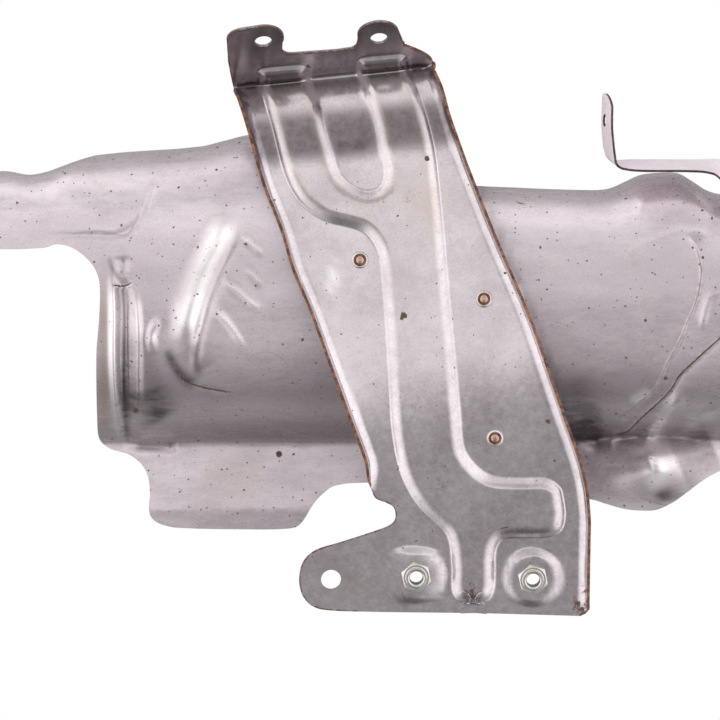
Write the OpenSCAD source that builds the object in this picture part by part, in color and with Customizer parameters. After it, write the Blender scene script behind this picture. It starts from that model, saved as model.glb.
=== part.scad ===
// Exhaust heat shield: a pressed trough of thin sheet, crossed by a stamped bracket
// with a raised bead, and carrying a narrow twisted strap bracket at one end.
// It lies with the trough's open side down. Millimetres, Z up, floor at Z = 0.

/* [Sheets] */
// Thickness of the shield's sheet
shield_t = 0.8; // [0.5:0.1:1.5]
// Thickness of the main bracket
bracket_t = 1.5; // [1:0.1:2.5]
// Thickness of the strap bracket
strap_t = 1.2; // [0.8:0.1:2]
// Air between two sheets where they are riveted
seat_gap = 0.1; // [0.05:0.05:0.3]

/* [Shield] */
// Height of the trough's crown over the floor
crown_z = 62; // [50:1:80]
// Length of the narrow arm at the left end
arm_len = 80; // [40:1:140]
// Radius of the trough's front curve
trough_r = 80; // [74:1:100]
// Depth of the pressed groove near the left end
groove_depth = 3; // [1:0.5:5]
// Height of the pressed creases and ridges
crease_h = 3; // [0:0.5:5]
// Height of the lower flange above the floor, at its root
flange_z = 7; // [5:1:12]
// Width of the folded hem along the straight edges
hem_w = 4; // [3:0.5:8]
// How far the seats under the rivets stand over the crown
seat_rise = 4; // [2:0.5:8]

/* [Main bracket] */
// Height of the raised bead
bead_h = 4.5; // [2:0.5:6]
// Width of the bead's sloping wall
bead_wall = 5; // [3:0.5:6]
// Height of the turned-up rims
rim_h = 4; // [2:0.5:7]
// Width of the rims' curve
rim_w = 5; // [3:0.5:7]
// Radius of the convex curve below the ear flange
nose_r = 68; // [60:1:90]
// Angle at which that curve ends
nose_angle = 38; // [30:1:42]
// Angle of the ear flange over the horizontal
flange_angle = 54; // [45:1:65]
// Slope of the lower half, as rise over run
tail_slope = 0.23; // [0.05:0.01:0.35]
// Diameter of the two holes in the ears
ear_hole_d = 8.6; // [5:0.1:11]
// Diameter of the hole in the lug
lug_hole_d = 10; // [6:0.5:13]
// Diameter of the round bosses at their foot
boss_d = 31; // [28:0.5:33]
// Height of the round bosses
boss_h = 2.2; // [1:0.1:3.5]

/* [Nuts] */
// Width of the nuts across their flats
nut_af = 13.6; // [12:0.1:16]
// Thickness of a nut's hexagon
nut_h = 2.4; // [1.5:0.1:5]
// Diameter of a nut's round collar
nut_collar_d = 10.4; // [9:0.1:11.5]
// Height of that collar over the hexagon
nut_collar_h = 1.2; // [0.5:0.1:3]
// Thread core of the nuts
nut_core_d = 6.8; // [5:0.1:8]

/* [Rivets] */
// Diameter of a rivet's flange
rivet_flange_d = 8.6; // [7:0.1:11]
// Diameter of a rivet's shank
rivet_d = 4.8; // [4.2:0.1:5.6]
// Diameter of the broken stem inside it
stem_d = 2.8; // [2:0.1:3.2]

/* [Strap bracket] */
// Width of the strap
strap_w = 20; // [14:1:24]
// Diameter of the hole in its upright leg
strap_hole_d = 6.5; // [4:0.5:9]

/* [Hidden] */

shield_colour = [0.82, 0.79, 0.81];
bracket_colour = [0.66, 0.63, 0.64];
rivet_colour = [0.76, 0.66, 0.60];
nut_colour = [0.70, 0.71, 0.69];

// The arm begins at arm_x, and the sheet's right end is at right_end
arm_x = -130;
right_end = 240.4;

// The frame's origin is on the floor, under the middle of the outer box
box_mid = [(right_end + arm_x - arm_len) / 2, 20.7];

// Height of the bracket's flat upper face
deck_z = crown_z + seat_rise + seat_gap + bracket_t;

// Guides are outlines seen from above. Each point is [station, x, y], and a smooth curve
// runs through them, so that opposite points of two guides share a station.
function span(g, s, i = 0) = i >= len(g) - 2 || s < g[i + 1][0] ? i : span(g, s, i + 1);
function spot(k) = [k[1], k[2]];
function guide(g, s) =
    let (i = span(g, s),
         k0 = g[max(i - 1, 0)], k1 = g[i],
         k2 = g[i + 1], k3 = g[min(i + 2, len(g) - 1)],
         w = k2[0] - k1[0],
         f = (s - k1[0]) / w,
         m1 = (spot(k2) - spot(k0)) * w / (k2[0] - k0[0]),
         m2 = (spot(k3) - spot(k1)) * w / (k3[0] - k1[0]))
    (2 * f - 3) * f * f * (spot(k1) - spot(k2)) + spot(k1)
    + f * (f - 1) * (f - 1) * m1 + f * f * (f - 1) * m2;

// The same guide moved sideways by d, to the left of someone who walks along it
function beside(g, s, d) =
    let (last = g[len(g) - 1][0],
         a = guide(g, max(s - 0.4, 0)), b = guide(g, min(s + 0.4, last)),
         t = (b - a) / norm(b - a))
    guide(g, s) + d * [-t[1], t[0]];

function mix(a, b, f) = a + (b - a) * f;
function ease(f) = let (c = min(max(f, 0), 1)) c * c * (3 - 2 * c);
function smooth_max(a, b, k) = max(a, b) + pow(max(k - abs(a - b), 0), 2) / (4 * k);
function bell(d, w) = exp(-pow(d / w, 2));

// Distance from p to the polyline c
function to_piece(p, a, b) =
    let (f = min(max((p - a) * (b - a) / ((b - a) * (b - a)), 0), 1)) norm(p - mix(a, b, f));
function to_line(p, c) = min([for (i = [0:len(c) - 2]) to_piece(p, c[i], c[i + 1])]);

// A sheet from a grid of points on its upper face, with its own thickness at each point
function grid_normal(g, i, j) =
    let (u = g[min(i + 1, len(g) - 1)][j] - g[max(i - 1, 0)][j],
         v = g[i][min(j + 1, len(g[0]) - 1)] - g[i][max(j - 1, 0)],
         n = cross(u, v))
    n / norm(n);

// The lower face's point: straight below where the sheet is flat, across the sheet where steep
function under(g, i, j, t) =
    let (n = grid_normal(g, i, j))
    g[i][j] - t * mix([0, 0, 1 / max(n[2], 0.5)], n, ease((0.8 - n[2]) / 0.3));

module pressed_sheet(g, t) {
    rows = len(g);
    cols = len(g[0]);
    upper = [for (i = [0:rows - 1]) each g[i]];
    lower = [for (i = [0:rows - 1]) for (j = [0:cols - 1]) under(g, i, j, t[i][j])];
    n = rows * cols;
    function at(i, j) = i * cols + j;
    skin = [for (i = [0:rows - 2]) for (j = [0:cols - 2])
        each [[at(i, j), at(i + 1, j), at(i + 1, j + 1)], [at(i, j), at(i + 1, j + 1), at(i, j + 1)]]];
    rim = concat([for (j = [0:cols - 2]) at(0, j)], [for (i = [0:rows - 2]) at(i, cols - 1)],
        [for (j = [cols - 1:-1:1]) at(rows - 1, j)], [for (i = [rows - 1:-1:1]) at(i, 0)]);
    polyhedron(
        points = concat(upper, lower),
        faces = concat(
            [for (f = skin) [f[2], f[1], f[0]]],
            [for (f = skin) [f[0] + n, f[1] + n, f[2] + n]],
            [for (k = [0:len(rim) - 1]) let (a = rim[k], b = rim[(k + 1) % len(rim)])
                each [[b, a, a + n], [b, a + n, b + n]]]));
}

// Bracket: form of its upper face

// The nose: a convex curve turned about Z, which drops to the sharp bend of the ear flange
nose_start = [-15, 95];
nose_turn = 6;
bend_straight = 6;
bend_q = nose_r * sin(nose_angle) + bend_straight * cos(nose_angle);
bend_round = 5.4;
function nose_q(p) = (p - nose_start) * [-sin(nose_turn), cos(nose_turn)];
function nose_drop(q, lift) =
    let (r = nose_r + lift, q1 = r * sin(nose_angle))
    q <= 0 ? lift
        : q < q1 ? sqrt(r * r - q * q) - nose_r
        : r * cos(nose_angle) - nose_r - (q - q1) * tan(nose_angle);
bend_z = nose_drop(bend_q, 0);
function ear_rise(q, lift) = bend_z + (q - bend_q) * tan(flange_angle) + lift / cos(flange_angle);

// The tail: a gentle fall toward the lower end, turned about Z
tail_turn = 12;
tail_start = -6.3;
tail_blend = 60;
function tail_p(p) = p * [-sin(tail_turn), cos(tail_turn)] - tail_start;
function tail_grade(p) = tail_slope * min(max(-tail_p(p) / tail_blend, 0), 1);
function tail_drop(p) =
    let (d = -tail_p(p))
    d <= 0 ? 0
        : d < tail_blend ? tail_slope * d * d / (2 * tail_blend)
        : tail_slope * (d - tail_blend / 2);

function deck(p, lift = 0) =
    let (q = nose_q(p), k = bend_round * (1 - 0.7 * lift / bead_h))
    deck_z + smooth_max(nose_drop(q, lift), ear_rise(q, lift), k) - tail_drop(p);

// Puts children on the deck's upper face at p, turned to stand square on it
module on_deck(p, lift = 0) {
    translate([p[0], p[1], deck(p, lift)]) rotate([0, 0, tail_turn])
        rotate([atan(tail_grade(p)), 0, 0]) children();
}

// Bracket: outlines. Station 0 is the flange's straight top, 4 its bend, 43 the bottom edge.
// They are drawn for one place of the bend and one angle of the flange, and follow both.
drawn_bend = 46.593;
drawn_angle = 54;
function to_bend(g) =
    [for (k = g)
        let (q = nose_q(spot(k)),
             curve = min(max(q, 0), drawn_bend) * (bend_q / drawn_bend - 1),
             flange = max(q - drawn_bend, 0) * (cos(flange_angle) / cos(drawn_angle) - 1),
             m = spot(k) + (curve + flange) * [-sin(nose_turn), cos(nose_turn)])
        [k[0], m[0], m[1]]];
left_edge = to_bend([[0, -66, 149.2], [3, -64, 139], [5, -62.5, 134], [7, -58.2, 121.5], [9, -54, 107],
    [11, -49.5, 91.2], [13, -45.8, 80], [17, -38.8, 61.5], [19, -34, 45], [21, -25.2, 24],
    [23, -14.5, -5.5], [25, -4.8, -32], [27, 1.8, -50], [28, 4.2, -59.5], [29, 7.2, -68.5],
    [30, 12.8, -71.3], [31, 16.4, -73.3], [32, 17.8, -77], [33, 16.8, -81], [34, 12.5, -83.7],
    [35, 3, -87], [36, -10, -91.2], [37, -22, -95], [38, -28.5, -101], [39, -30.5, -110],
    [40, -28.5, -118.5], [41, -22.5, -124], [42, -12, -125.7], [43, 10, -126.3]]);
right_edge = to_bend([[0, 22.5, 157.3], [1, 27.5, 155.5], [2, 32.5, 153.2], [3, 36, 150.5],
    [4, 37.3, 147], [5, 38, 144], [6, 41.5, 136], [8, 45, 122.5], [10, 49.5, 110],
    [13, 59.3, 84.7], [16, 69, 60.5], [20, 85.8, 21], [23, 98.5, -15], [25, 104, -31],
    [27, 107.4, -40.3], [28, 109.1, -45.3], [29, 110.9, -50.8], [30, 112.6, -57], [31, 114.2, -65],
    [33, 115.5, -82], [37, 115.4, -105],
    [40, 115.2, -120], [41, 115.1, -123], [42, 114, -126.5], [43, 110.5, -128.4]]);
bead_left = to_bend([[0, -52, 151.5], [2, -51, 143.2], [4, -50.8, 138], [6, -48.2, 129.5],
    [8, -44.2, 116], [11, -38, 92.5], [13, -31.5, 80], [14, -24.5, 73.5], [15, -16.5, 69],
    [16, -6.5, 66.5], [17, 1, 64.2], [18, 5.5, 60], [19, 9, 53], [20, 10.5, 42.5],
    [22, 13, 10], [24, 14.8, -22.5], [25, 15.8, -36], [27, 19.5, -55], [29, 25.5, -68.2],
    [31, 32, -76.5], [33, 39, -83], [34, 42, -86], [35, 44, -90], [36, 45, -95], [38, 45.8, -105.5],
    [39, 45.7, -111], [40, 46, -116], [41, 48, -119.8], [42, 51, -121.9], [43, 50, -126.8]]);
bead_right = to_bend([[0, 19, 158], [1, 22, 154], [2, 23, 150.8], [4, 25, 146], [6, 28.2, 138.2],
    [8, 33.2, 124], [10, 37.5, 107], [12, 39.5, 92], [15, 41.8, 70], [18, 44.5, 38.5],
    [21, 48, 1], [23, 50.5, -27.5], [24, 51.5, -40], [25, 53, -45.8], [26, 57, -51.5],
    [27, 62.5, -56.2], [28, 69, -58.5], [29, 81, -58.9], [30, 93, -59], [31, 100.2, -63.5],
    [32, 102.2, -70], [33, 103, -78], [34, 101, -85.5], [35, 94, -89], [36, 80, -89.3],
    [37, 71.5, -90.2], [38, 68.2, -96], [39, 67.9, -105], [40, 67.6, -114], [41, 65.5, -119.4],
    [42, 62.5, -121.9], [43, 64, -127]]);
island_left = to_bend([[0, -25, 154], [2, -25, 145.8], [4, -24, 140.8], [6, -21.5, 132.5], [8, -17.5, 119],
    [10, -13.2, 103.2], [11, -10.5, 95.5], [12, -6.5, 89.8], [13, 0, 85.2], [14, 2, 80.5],
    [15, 4, 77], [16, 6.5, 74], [17, 9.5, 70], [18, 13.5, 64.5], [19, 17, 57], [20, 19.5, 47],
    [22, 23, 14], [24, 25.5, -22], [26, 31.5, -50], [27, 34.5, -58], [28, 38, -64],
    [29, 42, -68.5], [30, 46, -72], [31, 49.5, -75], [32, 52.5, -77.5], [33, 54.5, -79.5],
    [34, 55.5, -82.5], [35, 55.5, -86.5], [36, 55.3, -92], [37, 55.2, -98], [38, 55.2, -103.5],
    [40, 55.2, -115], [41, 55.2, -119], [42, 55.2, -122.3], [43, 55.2, -126.9]]);
island_right = to_bend([[0, -2, 156], [2, -2, 148.2], [4, -1.8, 143], [6, 1.8, 135], [8, 6, 121.2],
    [10, 9.5, 105.5], [11, 11.5, 97.8], [12, 11, 90], [13, 6.5, 85.6], [14, 8.5, 81],
    [15, 13.5, 77], [16, 20.5, 71.5], [17, 26, 64.5], [18, 29, 56], [19, 31, 47], [20, 32.5, 37],
    [22, 35, 8], [24, 38, -27], [26, 45, -54], [27, 50, -61], [28, 56, -66.5], [29, 63, -70],
    [30, 69, -72.5], [31, 73.5, -73.5], [32, 76.5, -74], [33, 77.5, -75], [34, 75.5, -77],
    [35, 73, -78], [36, 68.5, -81.5], [37, 63, -87], [38, 59.8, -98], [40, 58.8, -115],
    [41, 58.7, -119], [42, 58.6, -122.3], [43, 58.6, -126.9]]);

row_count = 43;
pad_top_row = 1;
island_end_row = 13;
bead_end_row = 42;
left_rim_rows = [4, 29];
right_rim_rows = [3, 42.5];
rim_steps = [1, 0.8, 0.45, 0];
island_side = bead_wall * [1.06, 0.1];

function rim_share(s, rows) = ease((s - rows[0]) / 2) * ease((rows[1] - s) / 2);
function rim_points(g, s, rows, next) =
    let (k = rim_share(s, rows), e = guide(g, s), across = next - e, far = norm(across),
         b = beside(g, s, 1) - e,
         slant = max(abs(across * b) / far, 0.5))
    [for (f = rim_steps)
        let (w = (bracket_t * k + rim_w * mix(0.4, 1, k) * (1 - f)) / slant,
             p = e + across * min(w / far, 0.5 - 0.4 * f))
        [p[0], p[1], k * rim_h * (1 - sqrt(1 - f * f))]];

function bracket_row(s) =
    let (on = s > pad_top_row && s < bead_end_row ? bead_h : 0,
         hole = s > island_end_row ? on : 0,
         apart = ease((island_end_row + 2 - s) / 2),
         wall = s < bead_end_row ? bead_wall : 1,
         bl = guide(bead_left, s), bls = beside(bead_left, s, wall),
         br = guide(bead_right, s), brs = beside(bead_right, s, -wall),
         rl = rim_points(left_edge, s, left_rim_rows, bl),
         rr = rim_points(right_edge, s, right_rim_rows, br),
         inner_l = [rl[3][0], rl[3][1]],
         inner_r = [rr[3][0], rr[3][1]],
         il = guide(island_left, s), ir = guide(island_right, s),
         ils = mix(mix(bls, il, 0.5), il - island_side, apart),
         irs = mix(mix(brs, ir, 0.5), ir + island_side, apart),
         plan = [[mix(inner_l, bl, 0.5), 0], [bl, 0], [bls, on], [mix(bls, ils, 0.65), on],
             [ils, on], [il, hole], [mix(il, ir, 0.5), hole], [ir, hole], [irs, on],
             [mix(irs, brs, 0.35), on], [brs, on], [br, 0],
             [mix(br, inner_r, 0.33), 0], [mix(br, inner_r, 0.66), 0]],
         flat = concat(rl, [for (c = plan) [c[0][0], c[0][1], c[1]]],
             [for (k = [3:-1:0]) rr[k]]))
    [for (c = flat) [c[0], c[1], deck([c[0], c[1]], c[2])]];

bracket_grid = [for (s = [0:row_count]) bracket_row(s)];
bracket_thick = [for (r = bracket_grid) [for (c = r) bracket_t]];

// Ears on the flange, drawn in its own plane: x along the bend, y up the flange
ear_root = 19;
function arc(c, r, a0, a1, n) =
    [for (k = [0:n]) let (a = mix(a0, a1, k / n)) c + r * [cos(a), sin(a)]];
ear_left_outline = concat([[-45, ear_root], [-44.6, 36]], arc([-36, 38], 8.6, 175, 100, 5),
    arc([-26.4, 37], 10.5, 95, -25, 9), arc([-13, 26.6], 4.5, 165, 265, 5),
    [[-13.2, ear_root]]);
ear_right_outline = concat([[16.2, ear_root]], arc([16.6, 26.5], 4.3, -90, -10, 4),
    arc([31, 30.5], 10.4, 190, 15, 11), [[43.8, ear_root]]);
ear_holes = [[-26.4, 35], [31.2, 27.5]];

module on_flange() {
    translate([nose_start[0], nose_start[1], deck_z]) rotate([0, 0, nose_turn])
        translate([0, bend_q, bend_z]) rotate([flange_angle, 0, 0]) children();
}

module ear(outline, hole) {
    on_flange() translate([0, 0, -bracket_t - 0.05]) linear_extrude(bracket_t) difference() {
        polygon(outline);
        translate(hole) circle(d = ear_hole_d, $fn = 48);
    }
}

// Fasteners and holes in the bracket, seen from above
rivet_spots = [[0, 50], [62, 30.5], [67.5, -39]];
nut_spots = [[28, -108], [86.5, -109.2]];
lug_hole_spot = [-14.5, -110];
boss_wall = 4.5;
root = 0.8;
sink = 0.2;
boss_top_d = boss_d - 2 * boss_wall;
nut_fit = 0.1;
rivet_fit = 0.15;
nut_shank_d = nut_collar_d - 0.6;

module boss() {
    rotate_extrude($fn = 72) polygon([
        [nut_shank_d / 2 + nut_fit, boss_h], [boss_top_d / 2, boss_h],
        [boss_d / 2 + root, -sink], [boss_d / 2 + root, sink - bracket_t],
        [boss_d / 2 - root, sink - bracket_t], [boss_top_d / 2 - root, boss_h - bracket_t],
        [nut_shank_d / 2 + nut_fit, boss_h - bracket_t]]);
}

module main_bracket() {
    color(bracket_colour) place() union() {
        difference() {
            pressed_sheet(bracket_grid, bracket_thick);
            for (p = nut_spots) on_deck(p)
                translate([0, 0, -10]) cylinder(d = boss_d, h = 20, $fn = 72);
            on_deck(lug_hole_spot) translate([0, 0, -10])
                cylinder(d = lug_hole_d, h = 20, $fn = 48);
            for (p = rivet_spots) on_deck(p) translate([0, 0, -10])
                cylinder(d = rivet_d + 2 * rivet_fit, h = 20, $fn = 36);
        }
        ear(ear_left_outline, ear_holes[0]);
        ear(ear_right_outline, ear_holes[1]);
        for (p = nut_spots) on_deck(p) boss();
    }
}

// Shield: form of its upper face

trough_mid_y = 36;
flange_fall = 0.06;
lip_y = -76;
lip_end_y = -85.3;
lip_root_z = flange_z + flange_fall * (lip_y + 40);
lip_fall = (lip_root_z - 2.2 * shield_t) / (lip_y - lip_end_y) - flange_fall;
flange_round = 7;
arm_fall = 0.1;
groove_line = [[-118.5, 38], [-117, 0], [-116.5, -36]];
ridge_line = [[-58, 76], [-72, 45], [-82, 18], [-88, 2]];
band_line = [[-150, 62.5], [-131, 65], [-116, 64.5], [-108, 74], [-98, 90], [-80, 93]];
right_crease = [[163, 62], [170, 47], [170.5, 35], [167, 20], [160, 5], [150, -12], [138, -30]];
right_step = [[182, 14], [170, 5], [161, -6], [152, -18], [145, -26], [137, -33], [124, -37]];
lobe_mid = [150, -52];
lobe_h = 17;
top_bump = [147, 84];

function crown(p) = crown_z - arm_fall * max(arm_x - p[0], 0) + 2.5 * bell(norm(p - top_bump), 20);
function front_curve(p) =
    let (d = min(max(trough_mid_y - p[1], 0), trough_r - 1))
    crown(p) - trough_r + sqrt(trough_r * trough_r - d * d);
function flange_floor(p) =
    flange_z - flange_fall * (-40 - p[1]) - lip_fall * max(lip_y - p[1], 0)
    + lobe_h * exp(-pow((p[0] - lobe_mid[0]) / 26, 2) - pow((p[1] - lobe_mid[1]) / 15, 2));
function pressing(p) =
    let (g = to_line(p, groove_line))
    crease_h * 0.4 * bell(g - 6, 2.5) - groove_depth * bell(g, 4)
    + crease_h * bell(to_line(p, ridge_line), 7)
    - crease_h * 0.5 * bell(to_line(p, band_line), 5)
    - crease_h * bell(to_line(p, right_crease), 5)
    + crease_h * 0.6 * bell(to_line(p, right_step), 4);
function free_face(p) = smooth_max(front_curve(p), flange_floor(p), flange_round) + pressing(p);

// Where the sheet rises to meet the bracket's underside, at the rivets
seat_flat = 11;
seat_reach = [24, 20, 33];
function under_deck(p) =
    deck(p) - (bracket_t + seat_gap) * sqrt(1 + pow(tail_grade(p), 2));
function seat_share(p, k) = ease((seat_reach[k] - norm(p - rivet_spots[k]))
    / (seat_reach[k] - seat_flat));
function shield_face(p) =
    let (w = max([for (k = [0:2]) seat_share(p, k)]))
    w > 0 ? mix(free_face(p), under_deck(p), w) : free_face(p);

// Shield: outlines. Station 0 is the left end of the arm, 64 the right end.
drawn_arm = 80;
function to_arm(g) =
    [for (k = g) [k[0], k[1] - max(arm_x - k[1], 0) * (arm_len / drawn_arm - 1), k[2]]];
front_edge = to_arm([[0, -210, 66], [1, -205, 57.5], [3, -180, 55.5], [6, -158, 56.2], [7, -152.5, 57.8],
    [8, -147, 57.2], [9, -142, 55], [10, -137.5, 51.5], [11, -133.5, 47], [12, -131, 41.5],
    [13, -130.1, 35], [15, -130.6, 20], [17, -132, 3], [20, -132, -32], [21, -131.5, -38.5],
    [22, -129.5, -42], [23, -125, -45], [24, -116.5, -47.5], [25, -110.5, -52], [26, -107, -58],
    [27, -105.8, -66], [28, -106.3, -75.3], [29, -104.5, -80], [30, -100, -82.8], [31, -92, -84.5],
    [34, -60, -85.3], [37, -35, -84.8], [38, -29.5, -82], [39, -23.6, -72.8], [40, -18.5, -67.2],
    [41, -12.5, -63.3], [43, 3, -61.8], [46, 45, -62], [51, 115, -70], [52, 124, -72.5],
    [53, 133, -75], [54, 141, -75.8], [55, 149, -75.5], [56, 157, -72], [57, 165, -66.3],
    [58, 173, -60.3], [59, 182, -55.5], [60, 192, -52.5], [61, 204, -50], [62, 217, -47.5],
    [63, 231, -42], [64, 240, -28]]);
back_edge = to_arm([[0, -210, 84], [1, -205, 91], [3, -180, 94], [5, -166, 92.2], [6, -158, 93.5],
    [7, -151, 96], [9, -143, 99], [12, -133.5, 102], [13, -128.5, 102.7], [14, -124, 103.2],
    [15, -120.5, 103.6], [17.5, -113.5, 104.2], [20, -107, 104.7], [22, -102, 105], [24, -97, 105.3],
    [26, -91, 105.7],
    [28, -84.5, 106.4], [30, -78, 107.2], [33, -67, 110], [36, -56, 112.6], [38, -46, 113],
    [41, -20, 106], [44, 15, 97], [47, 50, 88], [49, 80, 86], [52, 116, 84.8], [53, 125, 85.5],
    [54, 133, 88.8], [55, 141, 92.4], [56, 151, 93.6], [57, 160, 93.3], [58, 167, 89.5],
    [59, 175, 84.5], [60, 184, 82.5], [62, 207, 82], [64, 240, 80]]);
shield_stations = [0, 1, 2, 3, 4.5, 6, 7, 8, 9, 10, 11, 12, 13, 14, 15, 16, 17, 18, 19, 20, 21,
    22, 23, 24, 25, 26, 27, 28, 29, 30, 31, 32, 33.5, 35, 36, 37, 38, 39, 40, 41, 42, 43,
    43.8, 44.6, 45.3, 46, 46.6, 47.2, 47.8, 48.4, 49, 49.6, 50.3, 51, 52, 53, 54, 55, 56, 57, 58,
    59, 60, 61, 62, 63, 64];
front_rows = [0, 0.045, 0.09, 0.13, 0.17, 0.205, 0.24, 0.275, 0.31, 0.35, 0.4, 0.46, 0.52,
    0.59, 0.66, 0.73, 0.8, 0.87, 0.935, 1];
hem_step = 1.5;
back_angles = [22, 45, 67, 90];
back_reach = 34;
right_reach = 22;
back_fall = 26;
wall_rows = 2;

// Foot of the hidden back wall: on the floor along the body, higher under the arm
function wall_foot(s) = (crown_z - 26) * ease((22 - s) / 20);

function shield_column(s) =
    let (b = guide(front_edge, s), t = guide(back_edge, s), d = norm(t - b),
         reach = min(mix(back_reach, right_reach, ease((s - 54) / 6)), 0.5 * d),
         m = mix(t, b, reach / d),
         fall = back_fall * min(1, d / 60),
         top = shield_face(m),
         horizon = top - fall,
         foot = wall_foot(s),
         inward = ease((s - 12.8) / 2.2) * ease((32 - s) / 4),
         c = mix((b + m) / 2, [m[0], b[1]], inward),
         hem = (hem_w + hem_step) / (2 * norm(c - b)),
         hem_rows = [0, hem_w / (2 * norm(c - b))])
    concat(
        [for (f = concat(hem_rows, [for (r = front_rows) mix(hem, 1, r)]))
            let (p = mix(mix(b, c, f), mix(c, m, f), f)) [p[0], p[1], shield_face(p)]],
        [for (a = back_angles) let (p = mix(m, t, sin(a))) [p[0], p[1], top - fall * (1 - cos(a))]],
        [for (k = [1:wall_rows]) [t[0], t[1] + 0.4 * k, mix(horizon, foot, k / wall_rows)]]);

shield_columns = [for (s = shield_stations) shield_column(s)];
// Rows run front to back and columns left to right, so that the normals point up
shield_grid = [for (j = [len(shield_columns[0]) - 1:-1:0]) [for (c = shield_columns) c[j]]];
function hem_here(s) = s < 6.5 || (s > 14 && s < 22) || (s > 28 && s < 38);
shield_thick = [for (j = [len(shield_columns[0]) - 1:-1:0])
    [for (s = shield_stations) shield_t * (j < 2 && hem_here(s) ? 2 : 1)]];

module shield_sheet() {
    color(shield_colour) place() difference() {
        pressed_sheet(shield_grid, shield_thick);
        for (p = rivet_spots) on_deck(p) translate([0, 0, -10])
            cylinder(d = rivet_d + 2 * rivet_fit, h = 20, $fn = 36);
        for (p = strap_rivet_spots) translate([p[0], p[1], shield_face(p) - 10])
            cylinder(d = rivet_d + 2 * rivet_fit, h = 20, $fn = 36);
    }
}

// Strap: a strip swept along its middle line. Each ring is [x, y, turn, skew, share]: turn is
// how far its width leans from upright, skew how far it runs along the strip, and share its
// part of the full width. The strip has a round end, bends to an L, twists and lies down.
strap_path = [[124.2, 132.4, -13, 0.28, 0.35], [124.1, 131.2, -13, 0.28, 0.75],
    [124, 129, -13, 0.28, 1], [123.8, 118, -13, 0.28, 1], [124.3, 110, -13, 0.28, 1],
    [125, 104, -12, 0.29, 1], [126, 100.3, -6, 0.33, 1], [128, 98.2, 4, 0.35, 1],
    [131.5, 97.4, 12, 0.28, 1], [140, 97.3, 16, 0.23, 1], [162, 97.2, 16, 0.23, 1],
    [173, 96.8, 18, 0.2, 1], [180, 95.5, 26, 0.15, 1], [187, 91.5, 38, 0.1, 1],
    [194.5, 84.5, 54, 0.05, 1], [201, 76.5, 71, 0, 1], [207, 67.5, 90, 0, 1],
    [213, 59, 90, 0, 1], [221, 54, 90, 0, 1], [232, 51.5, 90, 0, 1]];
strap_hole = [123, 120, -3.5];
strap_level = crown_z - 4;
strap_foot_z = crown_z + seat_gap + strap_t / 2;
strap_lift_from = 10;
strap_lift_to = 16;
strap_rivet_spots = [[217, 55.8], [227, 52.6]];

function strap_middle(k) =
    let (p = strap_path[k],
         f = ease((k - strap_lift_from) / (strap_lift_to - strap_lift_from)))
    [p[0], p[1], mix(strap_level, strap_foot_z, f)];
function strap_ring(k) =
    let (c = strap_middle(k),
         a = strap_middle(max(k - 1, 0)), b = strap_middle(min(k + 1, len(strap_path) - 1)),
         t = [b[0] - a[0], b[1] - a[1], 0] / norm([b[0] - a[0], b[1] - a[1]]),
         side = [t[1], -t[0], 0],
         turn = strap_path[k][2],
         upright = cos(turn) * [0, 0, 1] + sin(turn) * side,
         across = upright + strap_path[k][3] * t,
         out = cross(t, upright),
         w = strap_w / 2 * strap_path[k][4], h = strap_t / 2)
    [c + w * across + h * out, c + w * across - h * out,
     c - w * across - h * out, c - w * across + h * out];

module strap_bracket() {
    n = len(strap_path);
    rings = [for (k = [0:n - 1]) strap_ring(k)];
    color(shield_colour) place() difference() {
        polyhedron(
            points = [for (r = rings) each r],
            faces = concat([[3, 2, 1, 0]], [[for (j = [0:3]) 4 * (n - 1) + j]],
                [for (k = [0:n - 2]) for (j = [0:3]) let (a = 4 * k + j, b = 4 * k + (j + 1) % 4)
                    each [[a, b, b + 4], [a, b + 4, a + 4]]]));
        translate([strap_hole[0], strap_hole[1], strap_level + strap_hole[2]])
            rotate([0, 90 - strap_path[2][2], 0])
                cylinder(d = strap_hole_d, h = 12, center = true, $fn = 36);
        for (p = strap_rivet_spots) translate([p[0], p[1], crown_z - 10])
            cylinder(d = rivet_d + 2 * rivet_fit, h = 20, $fn = 36);
    }
}

// Rivets: a body with a dished flange and a bulb on the blind side, and the stem in it
rivet_rise = 1.3;
dish_d = 6;
blind_len = 3.2;
blind_d = rivet_d + 2.2;
blind_gap = 0.3;

module rivet_body(grip) {
    r = rivet_flange_d / 2;
    bore = stem_d / 2 + 0.05;
    under = seat_gap - grip;
    rotate_extrude($fn = 48) polygon([
        [bore, seat_gap + 0.4], [dish_d / 2, seat_gap + 0.5], [dish_d / 2 + 0.4, seat_gap + rivet_rise],
        [r - 0.4, seat_gap + 0.8], [r, seat_gap + 0.3], [r, seat_gap], [rivet_d / 2, seat_gap],
        [rivet_d / 2, under - blind_gap], [blind_d / 2, under - blind_gap],
        [blind_d / 2, under - 1.4], [rivet_d / 2, under - blind_len],
        [bore, under - blind_len]]);
}

module rivet_stem(grip) {
    cap = 2.2;
    foot = seat_gap - grip - blind_len;
    rotate_extrude($fn = 36) polygon([
        [0, seat_gap + 1.7], [cap * 0.6, seat_gap + 1.5], [cap, seat_gap + 0.9], [cap, seat_gap + 0.6],
        [stem_d / 2, seat_gap + 0.6], [stem_d / 2, foot - 0.1],
        [rivet_d / 2 - 0.1, foot - 0.3], [rivet_d / 2 - 0.4, foot - 1.4], [0, foot - 1.7]]);
}

bracket_grip = bracket_t + seat_gap + shield_t;
strap_grip = strap_t + seat_gap + shield_t;

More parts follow.
